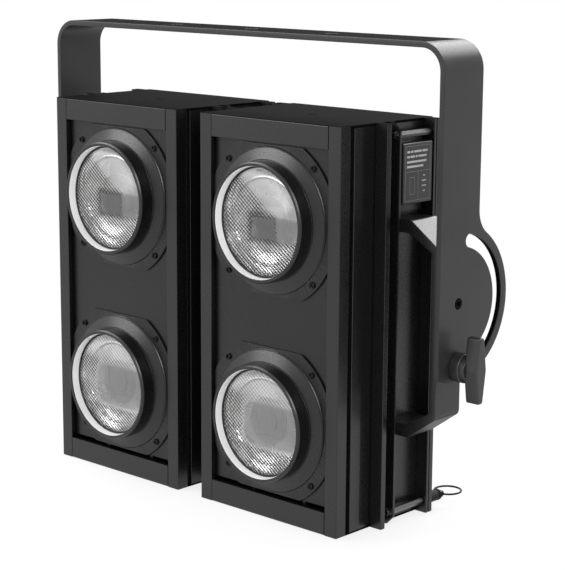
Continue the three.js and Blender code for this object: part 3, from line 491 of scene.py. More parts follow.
# Screen-printed ink: matt, thin
greyInk = coated("greyScreenInk", "#6e6e6e", "#787878", 0.6, 1.0, height=0.01)
whiteInk = coated("whiteScreenInk", "#b4b4b4", "#c4c4c4", 0.6, 1.0, height=0.01)
diamondGlass = patternedGlass()
ceramic = ceramicBoard()
boardGreen = circuitBoard()
print("materials made")


side = {
    "postWidth": 15.3,
    "postDepth": 14.0,
    "groove": 5.0,
    "grooveSink": 4.5,
    "proud": 0.8,
    "dish": 1.6,
    "dishFrom": 33.0,
    "wall": 3.0,
    "finReach": 14.2,
    "finFrom": 50.5,
    "finTo": 57.0,
    "frontFlange": (69.0, 72.0),
    "rearFlange": (122.0, 125.0),
    "rearFin": (126.2, 131.5),
    "slit": 2.0,
    "corner": 8.6,
    "pinOffset": 8.2,
    "pinHole": 3.9,
    "lid": 2.3,
}


# The constant outline of post, side panel and fins, carried up the housing, as it comes from the press
def sideExtrusion():
    half, tall = layout["half"], layout["height"]
    deep, wall, floor = side["postDepth"], side["wall"], half - side["grooveSink"]
    start, back = side["groove"] + deep, side["rearFin"][1]
    proud, postSide, r = half + side["proud"], half - side["postWidth"], 0.5
    post = rounded([[postSide, 0, 0.7], [half, 0, 0.7], [half, deep, r], [postSide, deep, r]])
    web = rounded([
        [floor - wall, deep + 0.02, 0],
        [floor, deep + 0.02, 0],
        [floor, start, 0.4],
        [proud, start, 0.7],
        [proud, side["dishFrom"], 0.6],
        [proud - side["dish"], side["finFrom"] - 1, 3],
        [proud - side["dish"], side["finFrom"] + 1, 0],
        [half, side["finFrom"] + 1.5, 0],
        [half, back, r],
        [half - wall, back, r],
        [half - wall, start + wall, 0.4],
        [floor - wall, start + wall, 0.4],
    ])
    root, tip, cut = half + 0.02, half + side["finReach"], side["corner"]
    finFrom, finTo = side["finFrom"], side["finTo"]
    fin = rounded([[root, finFrom, 0], [tip, finFrom, 0.6], [tip, finTo, 0.6], [root, finTo, 0]])
    plate = [[root, 0, 0], [tip - cut, 0, 0.6], [tip, cut, 0.6]]
    plate += [[tip, tall - cut, 0.6], [tip - cut, tall, 0.6], [root, tall, 0]]
    square = [[root, 0, 0], [tip, 0, 0.6], [tip, tall, 0.6], [root, tall, 0]]
    inner = [[root, 0, 0], [tip - side["slit"], 0, 0], [tip - side["slit"], tall, 0], [root, tall, 0]]
    holes = [circle(half + side["pinOffset"], z, side["pinHole"], 32) for z in layout["pinHeights"].values()]
    return joined(
        slab([post], "z", 0, tall),
        slab([web], "z", side["lid"], tall - side["lid"], 0.3),
        slab([fin], "z", 0, tall),
        slab([rounded(plate), *holes], "y", *side["frontFlange"]),
        slab([rounded(square), *holes], "y", *side["rearFlange"]),
        slab([rounded(inner), *holes], "y", side["rearFlange"][1] - 0.3, side["rearFin"][0] + 0.3, 0),
        slab([rounded(square), *holes], "y", *side["rearFin"]),
    )


cover = {"sheet": 2.0, "bar": (22.7, 23.2), "barDepth": 5.7, "tongue": 76.8, "slot": (12.0, 3.0, 65.5), "bend": 1.4}


# The top cover is the bottom cover's shape turned over: z becomes height - z
def endUp(shape, top):
    return (shape[0] * np.array([1, 1, -1]) + np.array([0, 0, layout["height"]]), shape[1]) if top else shape


# Flat sheet on the housing's end
def coverSheet(top):
    half = layout["half"]
    outline = frameBox(-half, half, side["postDepth"] + 0.3, layout["rearFace"], 0.6)
    across, deep, at = cover["slot"]
    holes = [frameBox(-across / 2, across / 2, at - deep / 2, at + deep / 2, 1.2)] if top else []
    return endUp(slab([outline, *holes], "z", 0, cover["sheet"], 0.35), top)


# The sheet's front, bent down as a bar between the posts
def coverBar(top):
    sheet, bar = cover["sheet"], cover["bar"][0 if top else 1]
    profile = rounded([
        [0, bar, 0.5],
        [0, 0, cover["bend"]],
        [side["postDepth"] + 0.3, 0, 0],
        [side["postDepth"] + 0.3, sheet, 0],
        [cover["barDepth"], sheet, 0.8],
        [cover["barDepth"], bar, 0.5],
    ])
    return endUp(slab([profile], "x", -cover["tongue"], cover["tongue"], 0.25), top)


bezel = {
    "corner": 85.0,
    "flats": (76.9, 74.2),
    "plate": (3.7, 5.7),
    "hole": 62.0,
    "cone": 73.1,  # where the cone ends and the sunk plate begins
    "profile": [
        [56.6, 5.7, 0], [72.9, 5.7, 0], [72.9, 3.4, 0.5], [72.2, 2.4, 0.4], [71.2, 2.4, 0.3], [60.6, -1.4, 0.8],
        [59.2, -1.4, 0.4], [59.2, -16.0, 1.0], [58.0, -17.6, 0.8], [55.2, -17.6, 0.3], [55.2, -16.9, 0.2],
        [56.6, -16.9, 0],
    ],
    "screws": 56.0,
    "screwHead": (3.3, 1.9),
    "screwTurn": (20, 37),  # degrees of the first screw, and from one to the next
}
# Shares of a screw head's radius, and for deep of its height
headShare = {"wide": 0.17, "long": 0.62, "floor": 0.8, "edge": 0.25, "deep": 0.35}


# Pan head facing the front: a round rim with a crossed recess and its floor
def screwHead(radius, rise):
    w, far = headShare["wide"] * radius, headShare["long"] * radius
    cross = [[w, w], [far, w], [far, -w], [w, -w], [w, -far], [-w, -far]]
    cross += [[-w, -w], [-far, -w], [-far, w], [-w, w], [-w, far], [w, far]]
    return joined(
        slab([circle(0, 0, radius, 28), np.array(cross)[::-1]], "y", -rise, 0.2, headShare["edge"] * radius, 3),
        slab([circle(0, 0, headShare["floor"] * radius, 20)], "y", -headShare["deep"] * rise, 0.15, 0),
    )


# Clipped round plate, and a profile turned round the lamp's axis: cone, short tube and rolled rim
def bezelShape():
    outline = circle(0, 0, bezel["corner"], 144)
    outline = np.stack([np.clip(outline[:, i], -bezel["flats"][i], bezel["flats"][i]) for i in (0, 1)], 1)
    profile = rounded(bezel["profile"], 5)
    return joined(
        slab([outline, circle(0, 0, bezel["hole"], 96)], "y", *bezel["plate"], 0.4),
        turned(profile, "y", 144, closed=True),
    )


lamp = {
    "lens": {"radius": 53.5, "front": -7.3, "dome": 1.8, "back": -4.5},
    "liner": {
        "bore": 54.9,
        "wall": 0.7,
        "edge": 0.3,
        "back": 1.6,
        "front": -16.4,
        "shelf": -4.2,
        "lip": 51.0,
        "depth": 9.0,
        "throat": 24.0,
    },
    "ridge": {"place": 43.0, "high": 0.9, "wide": 0.9},
    "floor": {"depth": (4.6, 5.0), "window": (16.6, 14.6)},
    "seal": {"from": 1.0, "inner": 52.7, "outer": 54.6},
}


# A dome rising by dome * (1 - (r / radius) squared) over a flat back
def lensShape():
    size = lamp["lens"]
    radius, front, back = size["radius"], size["front"], size["back"]
    r = np.linspace(0, radius - 0.3, 24)
    dome = np.stack([r, front - size["dome"] * (1 - (r / radius) ** 2)], 1)
    rim = [[radius, front + 0.4], [radius, back - 0.3], [radius - 0.3, back], [0, back]]
    return turned(np.concatenate([dome, rim]), "y", 128)


# Smooth step: t * t * (3 - 2t), where t runs from 0 at low to 1 at high
def eased(values, low, high):
    t = np.clip((values - low) / (high - low), 0, 1)
    return t * t * (3 - 2 * t)


# Zones of the glass, in shares of its radius from its centre: u to the right, w up. Their shades are painted shade on
# the glass. A pair named edge, runOut, smooth or shallow says where a fade begins and where it ends
lensZones = {
    "upper": {
        "row": (-0.11, 0.27),  # middle and half height of the square and the band
        "square": (0.05, 0.37),  # middle and half width
        "bandFrom": 0.3,
        # painted shade of the square and of the band
        "shades": (0.79, 0.68),  # of the square and the band
        "edge": (-0.09, 0.07),
        "smoothWay": (-0.6, -0.8),
        "smooth": (-0.45, -0.2),
        "runOut": (-0.1, 0.04),
    },
    "lower": {
        "row": (-0.03, 0.2),
        "leftEnd": -0.22,
        "round": 0.25,
        "shade": 0.72,
        "edge": (-0.08, 0.06),
        "shallow": (0.35, 0.6),
        "shallowBy": 0.4,
        "runOut": (-0.06, 0.07),
    },
    # painted shade low down on the glass
    "below": {"shade": 0.2, "down": (0.4, 0.55), "across": (-0.45, -0.2)},
    "second": {"least": 0.1, "more": 0.5, "slope": 0.4, "edge": (-0.3, 0.3)},
    "frontWithin": 0.3,  # mm behind the front face that still count as front
}


# Painted shade: a dark square and a paler band from it to the right rim. The lines run out towards the upper right.
def upperMarks(u, w):
    zone = lensZones["upper"]
    row = np.abs(w - zone["row"][0]) - zone["row"][1]
    square = np.maximum(row, np.abs(u - zone["square"][0]) - zone["square"][1])
    band = np.maximum(row, zone["bandFrom"] - u)
    clear = eased(zone["smoothWay"][0] * u + zone["smoothWay"][1] * w, *zone["smooth"])
    dark, pale = [share * (1 - eased(area, *zone["edge"])) for share, area in zip(zone["shades"], (square, band))]
    return np.minimum(square, band), np.maximum(dark, pale), clear


# Painted grey shade: a flat middle, round at its left end and open to the right rim. Near the top the lines are
# shallower.
def lowerMarks(u, w):
    zone = lensZones["lower"]
    row = np.maximum(np.abs(w - zone["row"][0]) - zone["row"][1], 0)
    area = np.hypot(row, np.maximum(zone["leftEnd"] - u, 0)) - zone["round"]
    clear = 1 - zone["shallowBy"] * eased(w, *zone["shallow"])
    return area, zone["shade"] * (1 - eased(area, *zone["edge"])), clear


# How deep each of the two line sets is cut into the front: deep to the left and below, running out in the middle.
# The middle and its right, and a strip low down, get painted grey shade. The back stays plain.
def markCut(mesh, x, z, level):
    points = np.array([vertex.co[:] for vertex in mesh.vertices]) * 1000
    radius = lamp["lens"]["radius"]
    u, w = (points[:, 0] - x) / radius, (points[:, 2] - z) / radius
    front = points[:, 1] - layout["frontFace"] < lamp["lens"]["front"] + lensZones["frontWithin"]
    area, shade, clear = {"upper": upperMarks, "lower": lowerMarks}[level](u, w)
    below, second = lensZones["below"], lensZones["second"]
    low = below["shade"] * eased(-w, *below["down"]) * eased(u, *below["across"])
    shade = front * np.maximum(shade, low)
    falling = front * eased(area, *lensZones[level]["runOut"]) * clear
    rising = falling * (second["least"] + second["more"] * eased(-u + second["slope"] * w, *second["edge"]))
    for name, depth in (("fallingCutShade", falling), ("risingCutShade", rising), ("paintedGreyShade", shade)):
        mesh.attributes.new(name, "FLOAT", "POINT").data.foreach_set("value", depth.astype(np.float32))


# Thin black ring that holds the glass's front edge
def sealShape():
    size, front = lamp["seal"], lamp["lens"]["front"]
    inner, outer, start = size["inner"], size["outer"], front - size["from"]
    ring = rounded([[inner, front - 0.1, 0], [outer, front + 0.3, 0], [outer, start, 0.3], [inner + 0.6, start, 0.3]])
    return turned(ring, "y", 128, closed=True)


# The radius falls from lip to throat as the square root of the depth that is left, with one low ring step of
# height * exp(-((radius - place) / width) squared)
def bowlShape():
    size = lamp["liner"]
    share = 1 - np.linspace(1, 0, 60) ** 2
    radius = size["throat"] + (size["lip"] - size["throat"]) * np.sqrt(1 - share)
    step = lamp["ridge"]
    ridge = step["high"] * np.exp(-(((radius - step["place"]) / step["wide"]) ** 2))
    inner = np.stack([radius, size["shelf"] + size["depth"] * share - ridge], 1)
    outer = inner[::-1] + np.array([0, size["back"]])
    return turned(np.concatenate([inner, outer]), "y", 128, closed=True)


# Flat bottom of the bowl with the window of the light source
def floorShape():
    across, tall = lamp["floor"]["window"]
    window = frameBox(-across, across, -tall, tall, 2)
    return slab([circle(0, 0, lamp["liner"]["throat"], 64), window], "y", *lamp["floor"]["depth"], 0.1)


# Bright ring from the rim back to the shelf that carries the glass
def linerShape():
    size = lamp["liner"]
    bore, wall, front, shelf = size["bore"], size["wall"], size["front"], size["shelf"]
    ring = rounded([
        [bore + wall, shelf + size["back"], 0.3],
        [bore + wall, front, size["edge"]],
        [bore, front, size["edge"]],
        [bore, shelf, 0],
        [size["lip"], shelf, 0.2],
        [size["lip"], shelf + size["back"], 0],
    ])
    return turned(ring, "y", 128, closed=True)


rear = {
    "front": 131.8,
    "plate": 134.5,
    "wall": 3.0,
    "corner": 3.0,
    "mouth": 40.0,
    "duct": (42.4, 105.0),
    "hub": 10.3,
    "rings": (22.0, 32.0),
    "ringWidth": 2.6,
    "spoke": 2.6,
    "vent": (62.0, 4.0, 10.0, 5, 44.0),
    "window": (33.0, 20.0, 331.0),
    "sockets": ((-46.0, 0.0, 46.0), 62.0, 12.3),
    "spindle": (2.5, 108.0),
    "stator": (9.0, 117.0),
    "screws": (85.5, (10.5, 140, 260, 389.5)),
    "screwHead": (2.9, 1.5),
    "screwTurn": 31,
}


# Ring sectors between the guard's rings and its four spokes, each drawn out along one arc and back along another
def guardOpenings():
    edges = [rear["hub"], *rear["rings"], rear["mouth"]]
    middle, openings = layout["height"] / 2, []
    for i in range(3):
        inner = edges[i] + (rear["ringWidth"] if i else 0)
        outer = edges[i + 1]
        for quarter in range(4):
            cutInner = np.degrees(np.arcsin(rear["spoke"] / 2 / inner))
            cutOuter = np.degrees(np.arcsin(rear["spoke"] / 2 / outer))
            start = 45 + 90 * quarter
            openings.append(np.concatenate([
                arc(0, middle, outer, start + cutOuter, start + 90 - cutOuter, 18),
                arc(0, middle, inner, start + 90 - cutInner, start + cutInner, 18),
            ]))
    return openings


# A moulded tray: flat plate with vents and guard, a turned-in wall, and the fan's duct, stator and spindle
def rearShape(fitted):
    half, low = layout["half"], cover["sheet"] + 0.3
    high = layout["height"] - low
    outline = frameBox(-half, half, low, high, rear["corner"])
    wall = rear["wall"]
    holes = guardOpenings()
    if fitted:
        across, tall, at = rear["window"]
        holes.append(frameBox(-across, across, at - tall, at + tall, 2))
        places, height, radius = rear["sockets"]
        holes += [circle(x, height, radius, 48) for x in places]
    else:
        width, tall, pitch, rows, inset = rear["vent"]
        for i in range(rows):
            for z in (inset + i * pitch, layout["height"] - inset - i * pitch):
                holes.append(frameBox(-width / 2, width / 2, z - tall / 2, z + tall / 2, 1.8))
    rim = [outline, frameBox(-half + wall, half - wall, low + wall, high - wall, 1)]
    (duct, start), mouth, plate = rear["duct"], rear["mouth"], rear["plate"]
    tube = [[mouth, start], [duct, start], [duct, plate], [mouth, plate]]
    (thin, tip), (thick, shoulder) = rear["spindle"], rear["stator"]
    stator = [[0, tip], [thin, tip], [thin, shoulder], [thick, shoulder], [thick, plate], [0, plate]]
    return joined(
        slab([outline, *holes], "y", plate, layout["rearFace"], 0.5),
        slab(rim, "y", rear["front"], plate + 0.1, 0),
        moved(joined(turned(tube, "y", closed=True), turned(stator, "y", 32)), z=layout["height"] / 2),
    )


# A head modelled towards the front, turned to sit on a rear face
def facingBack(shape, depth):
    return shape[0] * np.array([1, -1, 1]) + np.array([0, depth, 0]), shape[1]


for hand, sign in hands.items():
    centre = sign * layout["moduleCentre"]
    profile = sideExtrusion()
    for where, way in (("outer", sign), ("inner", -sign)):
        name = f"{hand}_{where}_side"
        extrusion = moved(mirrored(profile, way), centre)
        makePiece(f"{name}_extrusion", extrusion, powderCoat, nodes=[name], other=(coverAndTopShadeCoat, facesUp))
    for where, top in (("top", True), ("bottom", False)):
        name = f"{hand}_{where}_cover"
        makePiece(f"{name}_sheet", moved(coverSheet(top), centre), coverAndTopShadeCoat, nodes=[name])
        makePiece(f"{name}_bar", moved(coverBar(top), centre), powderCoat, nodes=[name], other=(coverAndTopShadeCoat, facesUp))
    for level, z in layout["lampHeights"].items():
        name = f"{hand}_{level}"
        onPlate = lambda at, _, x=centre, z=z: np.hypot(at.x * 1000 - x, at.z * 1000 - z) > bezel["cone"]
        ring = moved(bezelShape(), centre, 0, z)
        makePiece(f"{name}_bezel_ring", ring, powderCoat, nodes=[f"{name}_bezel"], other=(panelCoat, onPlate))
        heads = []
        for i, (dx, dz) in enumerate(((1, 1), (-1, 1), (-1, -1), (1, -1))):
            head = spun(screwHead(*bezel["screwHead"]), bezel["screwTurn"][0] + bezel["screwTurn"][1] * i)
            heads.append(moved(head, centre + dx * bezel["screws"], bezel["plate"][0], z + dz * bezel["screws"]))
        makePiece(f"{name}_bezel_screws", joined(*heads), screwSteel)
        pane = moved(lensShape(), centre, 0, z)
        glass = makePiece(f"{name}_lens_glass", pane, diamondGlass, nodes=[f"{name}_lens"])
        markCut(glass.data, centre, z, level)
        makePiece(f"{name}_lens_seal", moved(sealShape(), centre, 0, z), sealRubber)
        can = f"{name}_reflector"
        makePiece(f"{can}_bowl", moved(bowlShape(), centre, 0, z), chrome, nodes=[can])
        makePiece(f"{can}_floor", moved(floorShape(), centre, 0, z), satinSheet, nodes=[can])
        makePiece(f"{can}_liner", moved(linerShape(), centre, 0, z), brightLiner, nodes=[can])
        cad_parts[f"{name}_emitter"].data.materials[0] = ceramic
    makePiece(f"{hand}_rear_tray", moved(rearShape(sign > 0), centre), powderCoat, nodes=[f"{hand}_rear_cover"])
    heads = []
    across, heights = rear["screws"]
    for dx in (-across, across):
        for z in heights:
            head = facingBack(spun(screwHead(*rear["screwHead"]), rear["screwTurn"] * z), layout["rearFace"])
            heads.append(moved(head, centre + dx, 0, z))
    makePiece(f"{hand}_rear_screws", joined(*heads), darkSteel)
    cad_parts[f"{hand}_front_panel"].data.materials[0] = panelCoat
    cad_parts[f"{hand}_heatsink"].data.materials[0] = plainAluminium
    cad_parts[f"{hand}_power_supply"].data.materials[0] = boardGreen
    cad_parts[f"{hand}_fan_rotor"].data.materials[0] = blackNylon
print("housings made")

yoke = {
    "halfWidth": 274.0,
    "thick": 5.8,
    "top": 478.0,
    "bend": 27.5,
    "front": 61.9,
    "rear": 121.7,
    "lobe": 77.0,
    "fillet": 28.0,
    "slotRadius": 61.5,
    "slotWidth": 13.0,
    "slotFrom": -96,
    "slotTo": 75,
    "pivotHole": 5.5,
    "hangHoles": ((-110, 5.5), (0, 6.5), (110, 5.5)),
    "edge": 0.8,
    "bendSteps": 14,
}


# Right arm in (depth, z): down the straight front, round the lobe, through the fillet and up the straight rear
def armOutline():
    d, z = layout["pivotDepth"], layout["pivotHeight"]
    lobe, fillet = yoke["lobe"], yoke["fillet"]
    reach = yoke["rear"] - d + fillet
    rise = np.sqrt((lobe + fillet) ** 2 - reach**2)
    meet = np.degrees(np.arctan2(rise, reach))
    start = np.degrees(np.arccos((d - yoke["front"]) / lobe)) - 180
    return np.concatenate([
        [[yoke["front"], z - np.sqrt(lobe**2 - (d - yoke["front"]) ** 2) + 1.5]],
        arc(d, z, lobe, start + 1, meet, 60),
        arc(d + reach, z + rise, fillet, meet - 180, -180, 12)[1:],
    ])


# Band between two arcs about the pivot, closed by half circles
def armSlot():
    d, z, r, w = layout["pivotDepth"], layout["pivotHeight"], yoke["slotRadius"], yoke["slotWidth"] / 2

    # Half circle round the middle of the slot's end
    def end(angle, start):
        a = np.radians(angle)
        return arc(d + r * np.cos(a), z + r * np.sin(a), w, start, start + 180, 12)[1:-1]

    a, b = yoke["slotFrom"], yoke["slotTo"]
    return np.concatenate([arc(d, z, r + w, a, b, 48), end(b, b), arc(d, z, r - w, b, a, 48), end(a, a + 180)])


# Flat pattern in (length along the bar, depth). Up to the bend length is x; in the bend it turns by a quarter
# over the neutral arc; past it, it runs down. The thickness is measured outwards from the inner face.
def yokeShape():
    thick, bend, top = yoke["thick"], yoke["bend"], yoke["top"]
    inner = bend - thick
    straight = yoke["halfWidth"] - bend
    arcLength = np.pi / 2 * (inner + thick / 2)
    legFrom = straight + arcLength
    flat = lambda outline: np.stack([legFrom + (top - bend) - outline[:, 1], outline[:, 0]], 1)
    bends = np.linspace(straight, legFrom, yoke["bendSteps"] + 1)
    alongFront = np.stack([bends, np.full_like(bends, yoke["front"])], 1)
    alongRear = np.stack([bends[::-1], np.full_like(bends, yoke["rear"])], 1)
    rightHalf = np.concatenate([alongFront, flat(armOutline()), alongRear])
    leftHalf = rightHalf[::-1] * np.array([-1, 1])
    outline = np.concatenate([rightHalf, leftHalf])
    n, m = len(rightHalf), len(bends)
    ribs = [(k, n - 1 - k) for k in range(m)] + [(n + k, 2 * n - 1 - k) for k in range(m)]
    holes = [circle(x, layout["pivotDepth"], r, 32) for x, r in yoke["hangHoles"]]
    for way in (1, -1):
        for cut in (armSlot(), circle(layout["pivotDepth"], layout["pivotHeight"], yoke["pivotHole"], 40)):
            holes.append(flat(cut) * np.array([way, 1]))
    if signedArea(outline) < 0:
        raise ValueError("the yoke's outline must run anticlockwise, or its ribs don't match")
    points, faces = slab([outline, *holes], "z", 0, thick, yoke["edge"], 2, ribs)
    s, depth, t = np.abs(points[:, 0]), points[:, 1], points[:, 2]
    a = np.clip((s - straight) / arcLength, 0, 1) * np.pi / 2
    x = np.minimum(s, straight) + (inner + t) * np.sin(a)
    z = top - bend + (inner + t) * np.cos(a) - np.maximum(s - legFrom, 0)
    return np.stack([np.sign(points[:, 0]) * x, depth, z], 1), faces


# Faces for the painted shade: the flat top, and the slot walls: faces across the bar whose distance from the pivot
# lies near the slot
def shadedOnYoke(centre, normal):
    depth = centre.y * 1000 - layout["frontFace"] - layout["pivotDepth"]
    away = np.hypot(depth, centre.z * 1000 - layout["pivotHeight"])
    inSlot = abs(away - yoke["slotRadius"]) < yoke["slotWidth"] / 2 + 0.1
    return normal.z > 0.99 or (inSlot and abs(normal.x) < 0.3)


makePiece("yoke_bar", yokeShape(), yokeCoat, "yoke", ["yoke"], other=(yokeShadeCoat, shadedOnYoke))

bracket = {
    "web": 203.0,
    "outer": 263.7,
    "leg": 8.0,
    "tall": 107.5,
    "foot": 13.0,
    "shoulder": 27.0,
    "slant": 24.0,
    "innerShoulder": 24.0,
    "innerSlant": 16.0,
    "round": 7.0,
    "depth": (72.3, 111.3),
    "pad": (5.5, 13.0, 267.9),  # its hole, its radius and its outer face
}


# Flat D carried across its strip, with two turned pads on its back
def bracketShape():
    size = bracket
    web, outer, tall, bend = size["web"], size["outer"], size["tall"], size["round"]
    low, inner = tall - size["foot"], outer - size["leg"]
    outside = [[web, tall, 0.8], [web + size["shoulder"], tall, bend], [outer, tall - size["slant"], bend]]
    hollow = [[inner, low - size["innerSlant"], bend], [web + size["innerShoulder"], low, bend], [web, low, 0.8]]
    flip = lambda corners: [[x, -z, r] for x, z, r in corners[::-1]]
    outline = rounded([*outside, *flip(outside), *flip(hollow), *hollow], 6)
    hole, radius, face = size["pad"]
    pad = rounded([[hole, inner + 4, 0], [radius, inner + 4, 0], [radius, face, 0.8], [hole, face, 0.3]])
    pads = [
        moved(turned(pad, "x", 48, closed=True), 0, layout["pivotDepth"], z)
        for z in (layout["pivotHeight"], layout["clampHeight"])
    ]
    return joined(moved(slab([outline], "y", *size["depth"], 0.8), z=layout["height"] / 2), *pads)


bolt = {"shank": 5.0, "end": 274.0, "socket": 2.9, "sunk": 4.0, "nut": 8.6, "nutThick": 6.0, "nutFace": 255.4}


# Button-ended bolt with a hexagon socket, its shank and its nut
def boltShape():
    size = bolt
    shank, rodEnd, nutFrom = size["shank"], size["end"] - size["sunk"], size["nutFace"] - size["nutThick"]
    whole = joined(
        slab([circle(0, 0, shank, 40), circle(0, 0, size["socket"], 6)], "x", rodEnd, size["end"], 0.4),
        slab([circle(0, 0, shank, 40)], "x", nutFrom - 3, rodEnd + 0.1, 0.3),
        slab([circle(0, 0, size["nut"], 6)], "x", nutFrom, size["nutFace"], 0.6),
    )
    return moved(whole, 0, layout["pivotDepth"], layout["pivotHeight"])


knob = {
    "stud": (5.0, 249.7, 274.4),
    "hub": [[0, 274.3, 0], [14.2, 274.3, 0.6], [14.5, 285.2, 1.2], [11.4, 285.8, 0.4], [11.0, 290, 0.5], [0, 290, 0]],
    "wing": (287.9, 303.1),
    "long": 32.5,
    "wide": 8.3,
    "tip": 3.7,
    "edge": 1.8,
}


# A turned hub, and a long diamond carried along the axis with rounded rims
def knobShape():
    size = knob
    wide, tip, long = size["wide"], size["tip"], size["long"]
    half = [[-wide, 0, 5], [-tip, -long, 2.6], [tip, -long, 2.6]]
    outline = rounded([*half, *[[-x, -z, r] for x, z, r in half]], 6)
    whole = joined(turned(rounded(size["hub"], 4), "x", 64), slab([outline], "x", *size["wing"], size["edge"], 4))
    return moved(whole, 0, layout["pivotDepth"], layout["clampHeight"])


# The knob's stud as a plain rod, from behind the bracket into the hub
def studShape():
    radius, start, end = knob["stud"]
    stud = slab([circle(0, 0, radius, 40)], "x", start, end, 0.6)
    return moved(stud, 0, layout["pivotDepth"], layout["clampHeight"])


for hand, sign in hands.items():
    strap, screw, wing, stud = [mirrored(make(), sign) for make in (bracketShape, boltShape, knobShape, studShape)]
    makePiece(f"{hand}_bracket_strap", strap, powderCoat, nodes=[f"{hand}_bracket"], other=(undersideShadeCoat, facesDown))
    makePiece(f"{hand}_pivot_screw", screw, oiledSteel, nodes=[f"{hand}_pivot_bolt"])
    makePiece(f"{hand}_knob_wing", wing, blackNylon, f"{hand}_knob", [f"{hand}_clamp_knob"])
    makePiece(f"{hand}_knob_stud", stud, zincSteel, f"{hand}_knob", [f"{hand}_clamp_knob"])
print("yoke and clamps made")

pin = {
    "x": 210.9,
    "front": 65.5,
    "corners": 3.4,
    "head": (5.7, 131.8, 148.8),
    "collar": (6.0, 3.4),
    "neck": (3.4, 154.8),
    "eye": (151.8, 1.9),
    "ring": (13.8, 1.0),
    "fork": (9.1, 131.8, 135.8, 15.1, 8.0),
    "grip": (7.5, 147.8, 2.5),
    "ribs": 22,
    "ribDeep": 0.06,  # share of the head's radius
}


# Six flats with a short chamfer at the tip
def hexRod(start, end):
    return slab([circle(0, 0, pin["corners"], 6)], "y", start, end, 0.7, 2)


# A head ribbed by radius * (1 - depth * |sin(ribs * a / 2)|), and a collar
def pinHeadShape():
    radius, start, end = pin["head"]
    collar, wide = pin["collar"]
    grip = circle(0, 0, radius, pin["ribs"] * 6)
    angle = np.arctan2(grip[:, 1], grip[:, 0])
    grip *= (1 - pin["ribDeep"] * np.abs(np.sin(pin["ribs"] * angle / 2)))[:, None]
    band = rounded([[0, end - wide, 0], [collar, end - wide, 0.7], [collar, end, 0.9], [0, end, 0]], 5)
    return joined(slab([grip], "y", start, end - wide + 0.1, 0.5), turned(band, "y", 48))


# The hexagonal rod, and the neck behind the head with the ring's hole
def pinRodShape():
    neck, tip = pin["neck"]
    eye, hole = pin["eye"]
    end = pin["head"][2]
    outline = rounded([[end - 0.1, -neck, 0], [tip, -neck, 1.6], [tip, neck, 1.6], [end - 0.1, neck, 0]], 6)
    lug = slab([outline, circle(eye, 0, hole, 24)], "x", -neck, neck, 1.3, 4)
    return joined(hexRod(pin["front"], pin["head"][1] + 1), lug)


# Two hexagonal rods on one block with a flat grip
def forkShape():
    offset, start, end, across, tall = pin["fork"]
    grip, reach, thick = pin["grip"]
    return joined(
        slab([frameBox(-across, across, -tall, tall, 3)], "y", start, end, 0.6),
        moved(hexRod(pin["front"], start + 1), -offset),
        moved(hexRod(pin["front"], start + 1), offset),
        slab([frameBox(-grip, grip, end - 1, reach, 1.5)], "z", -thick, thick, 0.7),
    )


for level, z in layout["pinHeights"].items():
    for hand, sign in hands.items():
        name = f"{hand}_{level}"
        for part, shape, metal in (("rod", pinRodShape(), drawnSteel), ("head", pinHeadShape(), darkSteel)):
            placed = moved(mirrored(shape, sign), sign * pin["x"], 0, z)
            makePiece(f"{name}_pin_{part}", placed, metal, f"{name}_pin_body", [f"{name}_pin"])
        radius, wire = pin["ring"]
        loop = moved(torus(radius, wire), sign * pin["x"], pin["eye"][0] + radius, z)
        makePiece(f"{name}_pull_ring", loop, darkSteel, f"{name}_ring_body", [f"{name}_ring"])
    name, fork = f"{level}_joining_fork", moved(forkShape(), 0, 0, z)
    makePiece(f"{level}_fork_pair", fork, darkSteel, f"{name}_body", [name])
print("pins made")

plateSize = {"face": 216.9, "web": 203.0, "depth": (75.0, 119.0), "z": (320.0, 379.1), "sheet": 2.0, "foot": 9.5}


# One strip bent as a hat: two feet on the web, two legs and the flat face
def channelPlateShape():
    size = plateSize
    low, high = size["z"]
    face, web, s, foot = size["face"], size["web"], size["sheet"], size["foot"]
    outline = [
        [web, low - foot, 0.4], [web + s, low - foot, 0.4], [web + s, low, 0.6], [face, low, 1.6],
        [face, high, 1.6], [web + s, high, 0.6], [web + s, high + foot, 0.4], [web, high + foot, 0.4],
        [web, high - s, 1], [face - s, high - s, 0.6], [face - s, low + s, 0.6], [web, low + s, 1],
    ]
    return slab([rounded(outline)], "y", *size["depth"], 0.4)


label = {
    "inset": 3.0,
    "line": 0.5,
    "rise": 0.12,
    "divider": 31.0,
    "middle": 97.5,
    "rowHigh": 2.0,
    "rows": {
        50.6: ((80.5, 4.4), (86.2, 3.6), (91.1, 11.2), (103.6, 8.0)),
        45.8: ((80.5, 3.8), (85.6, 6.4), (93.3, 3.0), (97.6, 12.4)),
        40.8: ((80.5, 29.5),),
        36.2: ((80.5, 25.0),),
    },
    "strokes": ((107.0, 11.5, 3.0), (107.0, 16.5, 6.4), (107.0, 21.5, 6.4), (107.0, 26.5, 3.0)),
    "box": (85.0, 92.5, 9.0, 26.0),
}


# Ink on the plate's outer face. Loops are (depth, height above the plate's lower edge).
def printed(loops):
    low = plateSize["z"][0]
    raised = [np.asarray(loop, float) + np.array([0, low]) for loop in loops]
    return slab(raised, "x", plateSize["face"] - 0.05, plateSize["face"] + label["rise"], 0)


